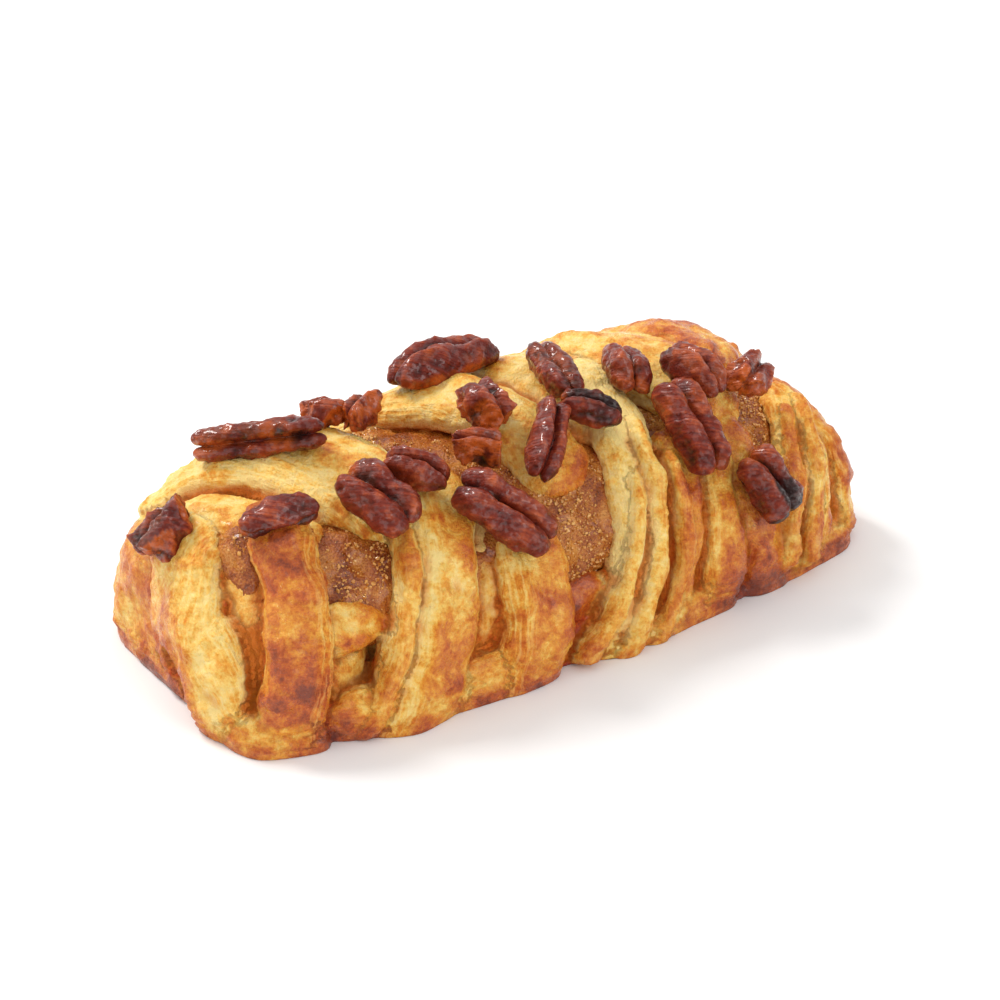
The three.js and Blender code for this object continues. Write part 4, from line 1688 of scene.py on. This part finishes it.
@dataclass
class PecanTopping:
    """All the nuts on the plait."""

    skin: LoafSkin
    finish: NutFinish
    around: int = 64
    along: int = 54
    breaks: int = 5
    blunt: float = 4.5  # squareness of a nut's two ends
    long_share: float = 0.53
    wide_share: float = 0.9
    back_share: float = 2.35
    belly_share: float = 1.5
    furrow_wide: float = 0.3
    hollow_wide: float = 0.45
    hollow: float = 0.4
    seed: int = 60
    crease: float = 0.36  # mm, as are the next three
    lump: float = 0.5
    pebble: float = 0.3
    furrow: float = 0.5
    lobe: float = 0.262  # a lobe's radius, in nut widths
    lobe_aside: float = 0.208
    seam: int = 12  # how sharply the two lobes meet
    flattened: float = 0.9  # how far a torn face is pressed flat

    def nut_shape(
        self, nut: Pecan, number: int
    ) -> tuple[np.ndarray, np.ndarray, dict[str, np.ndarray]]:
        """Shape one nut in its own place, long axis along x and back up.

        Args:
            nut: The nut.
            number: Its number, which seeds its wrinkles.

        Returns:
            Points in mm, triangles and the numbers its material reads.
        """
        pole, angle, faces = sphere_rings(self.around, self.along)
        angle = np.where(angle > np.pi, angle - 2 * np.pi, angle)
        length = np.cos(np.pi * pole)
        share = nut.start + (nut.end - nut.start) * 0.5 * (1 - length)
        girth = np.sqrt(np.maximum(1 - np.abs(length) ** self.blunt, 0))
        girth *= np.sin(np.pi * (0.08 + 0.84 * share)) ** 0.22
        level, up = np.cos(angle), np.sin(angle)
        reach = self.two_lobes(level, up, share, number)
        furrow = np.exp(-((level / self.furrow_wide) ** 2)) * (up > 0)
        hollow = np.exp(-((level / self.hollow_wide) ** 2)) * (up < 0)
        reach *= 1 - self.hollow * hollow
        spread = 0.8 + 0.34 * level**2 * np.sqrt(np.maximum(np.sin(np.pi * pole), 0))
        bow = 0.1 * nut.high * length**2
        tall = np.where(up > 0, self.back_share, self.belly_share)
        points = np.stack(
            [
                self.long_share * nut.long * length * spread,
                nut.wide * girth * reach * level * self.wide_share,
                nut.high * girth * reach * up * tall - bow,
            ],
            axis=1,
        )
        torn = np.zeros(len(points))
        if nut.form is NutForm.CHUNK:
            points, torn = self.break_off(points, nut, number)
        normals = points / (np.array([nut.long, nut.wide, nut.high]) ** 2)
        normals /= np.linalg.norm(normals, axis=1, keepdims=True) + TINY
        grain = GrainField(self.seed + number)
        crease = grain.rough(points * np.array([0.5, 1.0, 1.0]), 3.0, 2)
        lump = grain.rough(points + 9, 2.4, 2)
        pebble = grain.rough(points + 20, 1.1, 2)
        rugged = np.where(torn > 0.5, 2.0, 1.0)
        move = self.crease * crease + self.lump * rugged * lump + self.pebble * rugged * pebble
        move -= self.furrow * furrow * grain.at(points + 70, 2.0) ** 2
        points = points + normals * move[:, None] * np.minimum(girth * 1.4, 1)[:, None]
        # painted light and shade: lighter on raised bumps and the upper back, darker in the furrow
        # and in the hollow underneath
        crest = 0.46 + 0.5 * move - 0.42 * furrow - 0.2 * hollow + 0.14 * up
        cut_start = smoothstep(0.8, 1.0, length) * (nut.start > 0)
        cut_end = smoothstep(-0.8, -1.0, length) * (nut.end < 1)
        patch = smoothstep(0.1, 0.6, grain.rough(points + 55, 6.0, 2))
        bare = 0.8 * np.clip(cut_start + cut_end + torn, 0, 1) + 0.5 * (up < -0.2) * patch
        bare += nut.warm * smoothstep(-0.3, 0.5, grain.rough(points + 110, 5.0, 2))
        burn = smoothstep(-0.1, 0.5, grain.rough(points + 80, 9.0, 1) + 0.3 * up)
        return points, faces, {
            "crest": np.clip(crest, 0, 1),
            "bare": np.clip(bare, 0, 1),
            "char": nut.char * (0.4 + burn),
        }

    def two_lobes(
        self, level: np.ndarray, up: np.ndarray, share: np.ndarray, number: int
    ) -> np.ndarray:
        """Work out a nut's cross section: two round lobes side by side.

        Args:
            level: How far each point lies to the side, as seen from the middle.
            up: And how far up.
            share: Each point's share of the way along the nut.
            number: The nut's number, which makes its lobes unlike.

        Returns:
            The reach from the middle, in nut widths.
        """
        reach = []
        for side in (-1.0, 1.0):
            wave = bumps(number + 3 * side, share * 1.6, side * 2)
            size = self.lobe * (1 + 0.17 * wave)
            beside = side * self.lobe_aside
            below = -0.05 + 0.03 * math.sin(number * 2.1 + side)
            near = beside * level + below * up
            inside = size**2 - beside**2 - below**2 + near**2
            reach.append(near + np.sqrt(np.maximum(inside, 1e-4)))
        first, second = (np.maximum(one, 0.02) for one in reach)
        return (first**self.seam + second**self.seam) ** (1 / self.seam)

    def break_off(
        self, points: np.ndarray, nut: Pecan, number: int
    ) -> tuple[np.ndarray, np.ndarray]:
        """Flatten a nut against a few planes, where it tore.

        Args:
            points: The nut's points.
            nut: The nut.
            number: Its number, which picks the planes.

        Returns:
            The broken nut's points, and 1 where it is torn.
        """
        torn = np.zeros(len(points))
        half = 0.5 * np.array([nut.long, nut.wide, nut.high])
        for k in range(self.breaks):
            around = number * 1.7 + k * 2.4
            rise = 0.5 * math.sin(number * 3.1 + k * 5.3)
            level = math.cos(rise)
            facing = np.array([math.cos(around) * level, math.sin(around) * level, math.sin(rise)])
            share = 0.7 + 0.1 * math.sin(number * 2 + k * 3.7)
            past = points @ facing - share * np.linalg.norm(half * facing)
            over = past > 0
            points = points - np.where(over, past * self.flattened, 0)[:, None] * facing
            torn = np.maximum(torn, over.astype(float))
        return points, torn

    def place(self, nut: Pecan, points: np.ndarray) -> np.ndarray:
        """Carry a nut's points to its place on the loaf.

        Args:
            nut: The nut.
            points: Its points in its own place.

        Returns:
            The placed points.
        """
        spot, up, along, _ = self.skin.frame(np.array(float(nut.at[0])), np.array(float(nut.at[1])))
        along = along - up * (along @ up)
        along /= np.linalg.norm(along)
        across = np.cross(up, along)
        turn, roll = math.radians(nut.heading), math.radians(nut.roll)
        about_x = np.array(
            [[1, 0, 0], [0, math.cos(roll), -math.sin(roll)], [0, math.sin(roll), math.cos(roll)]]
        )
        about_z = np.array(
            [[math.cos(turn), -math.sin(turn), 0], [math.sin(turn), math.cos(turn), 0], [0, 0, 1]]
        )
        axes = np.stack([along, across, up], axis=1)
        return points @ (axes @ about_z @ about_x).T + spot + up * nut.lift

    def build(self) -> None:
        """Build every nut and dress it."""
        material = self.finish.build()
        for number, nut in enumerate(PECANS, start=1):
            points, faces, facts = self.nut_shape(nut, number)
            piece = make_object(f"nut_{number:02d}", self.place(nut, points), faces)
            for name, values in facts.items():
                store(piece.data, name, values)
            piece.data.materials.append(material)
            smooth_shade(piece.data)
            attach(piece, "root")
            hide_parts(f"pecan_{number:02d}")
        LOG.info("nuts: %d", len(PECANS))


# ---------------------------------------------------------------- studio


@dataclass(frozen=True)
class Lamp:
    """One soft round lamp, in metres and watts."""

    name: str
    place: tuple[float, float, float]
    size: float
    power: float
    tint: Colour


@dataclass
class Studio:
    """White card, soft light and the camera."""

    floor: FloorFinish
    azimuth: float = 35.0
    elevation: float = 28.0
    distance: float = 700.0
    view_angle: float = 18.0
    target: tuple[float, float, float] = (4.16, -0.06, 19.5)
    sky: float = 0.9
    key: Lamp = Lamp("key", (-0.35, 0.8, 1.05), 0.5, 12.5, (1.0, 0.98, 0.95))
    fill: Lamp = Lamp("fill", (0.15, -1.2, 0.8), 0.9, 3.5, (1.0, 1.0, 1.0))
    card_half: float = 3.0  # metres
    card_level: float = -0.0001  # metres, just below the plait's base

    def back(self) -> Vector:
        """Give the direction from the plait to the camera."""
        a, e = math.radians(self.azimuth), math.radians(self.elevation)
        return Vector((-math.sin(a) * math.cos(e), -math.cos(a) * math.cos(e), math.sin(e)))

    def add_camera(self) -> None:
        """Add the camera at the photograph's angle."""
        data = bpy.data.cameras.new("camera")
        data.angle = math.radians(self.view_angle)
        data.clip_start = 0.01
        camera = bpy.data.objects.new("camera", data)
        back = self.back()
        camera.location = Vector(self.target) * MM + back * self.distance * MM
        camera.rotation_euler = back.to_track_quat("Z", "Y").to_euler()
        bpy.context.scene.collection.objects.link(camera)
        bpy.context.scene.camera = camera

    def add_lamp(self, lamp: Lamp) -> None:
        """Add one soft lamp aimed at the plait.

        Args:
            lamp: The lamp.
        """
        data = bpy.data.lights.new(lamp.name, "AREA")
        data.shape = "DISK"
        data.size = lamp.size
        data.energy = lamp.power
        data.color = lamp.tint
        light = bpy.data.objects.new(lamp.name, data)
        light.location = lamp.place
        light.rotation_euler = Vector(lamp.place).to_track_quat("Z", "Y").to_euler()
        bpy.context.scene.collection.objects.link(light)

    def add_sky(self) -> None:
        """Light everything evenly from all sides."""
        world = bpy.data.worlds.new("studio_sky")
        world.use_nodes = True
        shade = world.node_tree.nodes["Background"]
        shade.inputs["Color"].default_value = (1.0, 1.0, 1.0, 1.0)
        shade.inputs["Strength"].default_value = self.sky
        bpy.context.scene.world = world

    def add_floor(self) -> None:
        """Lay the card under the plait."""
        mesh = bpy.data.meshes.new("card")
        half = self.card_half
        corners = [(-half, -half), (half, -half), (half, half), (-half, half)]
        mesh.from_pydata([(x, y, self.card_level) for x, y in corners], [], [(0, 1, 2, 3)])
        card = bpy.data.objects.new("card", mesh)
        bpy.context.scene.collection.objects.link(card)
        mesh.materials.append(self.floor.build())

    def build(self) -> None:
        """Build the studio."""
        self.add_floor()
        self.add_sky()
        self.add_lamp(self.key)
        self.add_lamp(self.fill)
        self.add_camera()
        bpy.context.scene.view_settings.view_transform = "Standard"
        LOG.info("studio ready")


def main() -> None:
    """Build the plait piece by piece, then the studio."""
    skin = LoafSkin()
    dough = Dough(skin, CrustFinish()).build()
    Filling(skin, FillingFinish(), SugarFinish()).build(dough)
    PecanTopping(skin, NutFinish()).build()
    Studio(FloorFinish()).build()


if __name__ == "__main__":
    main()
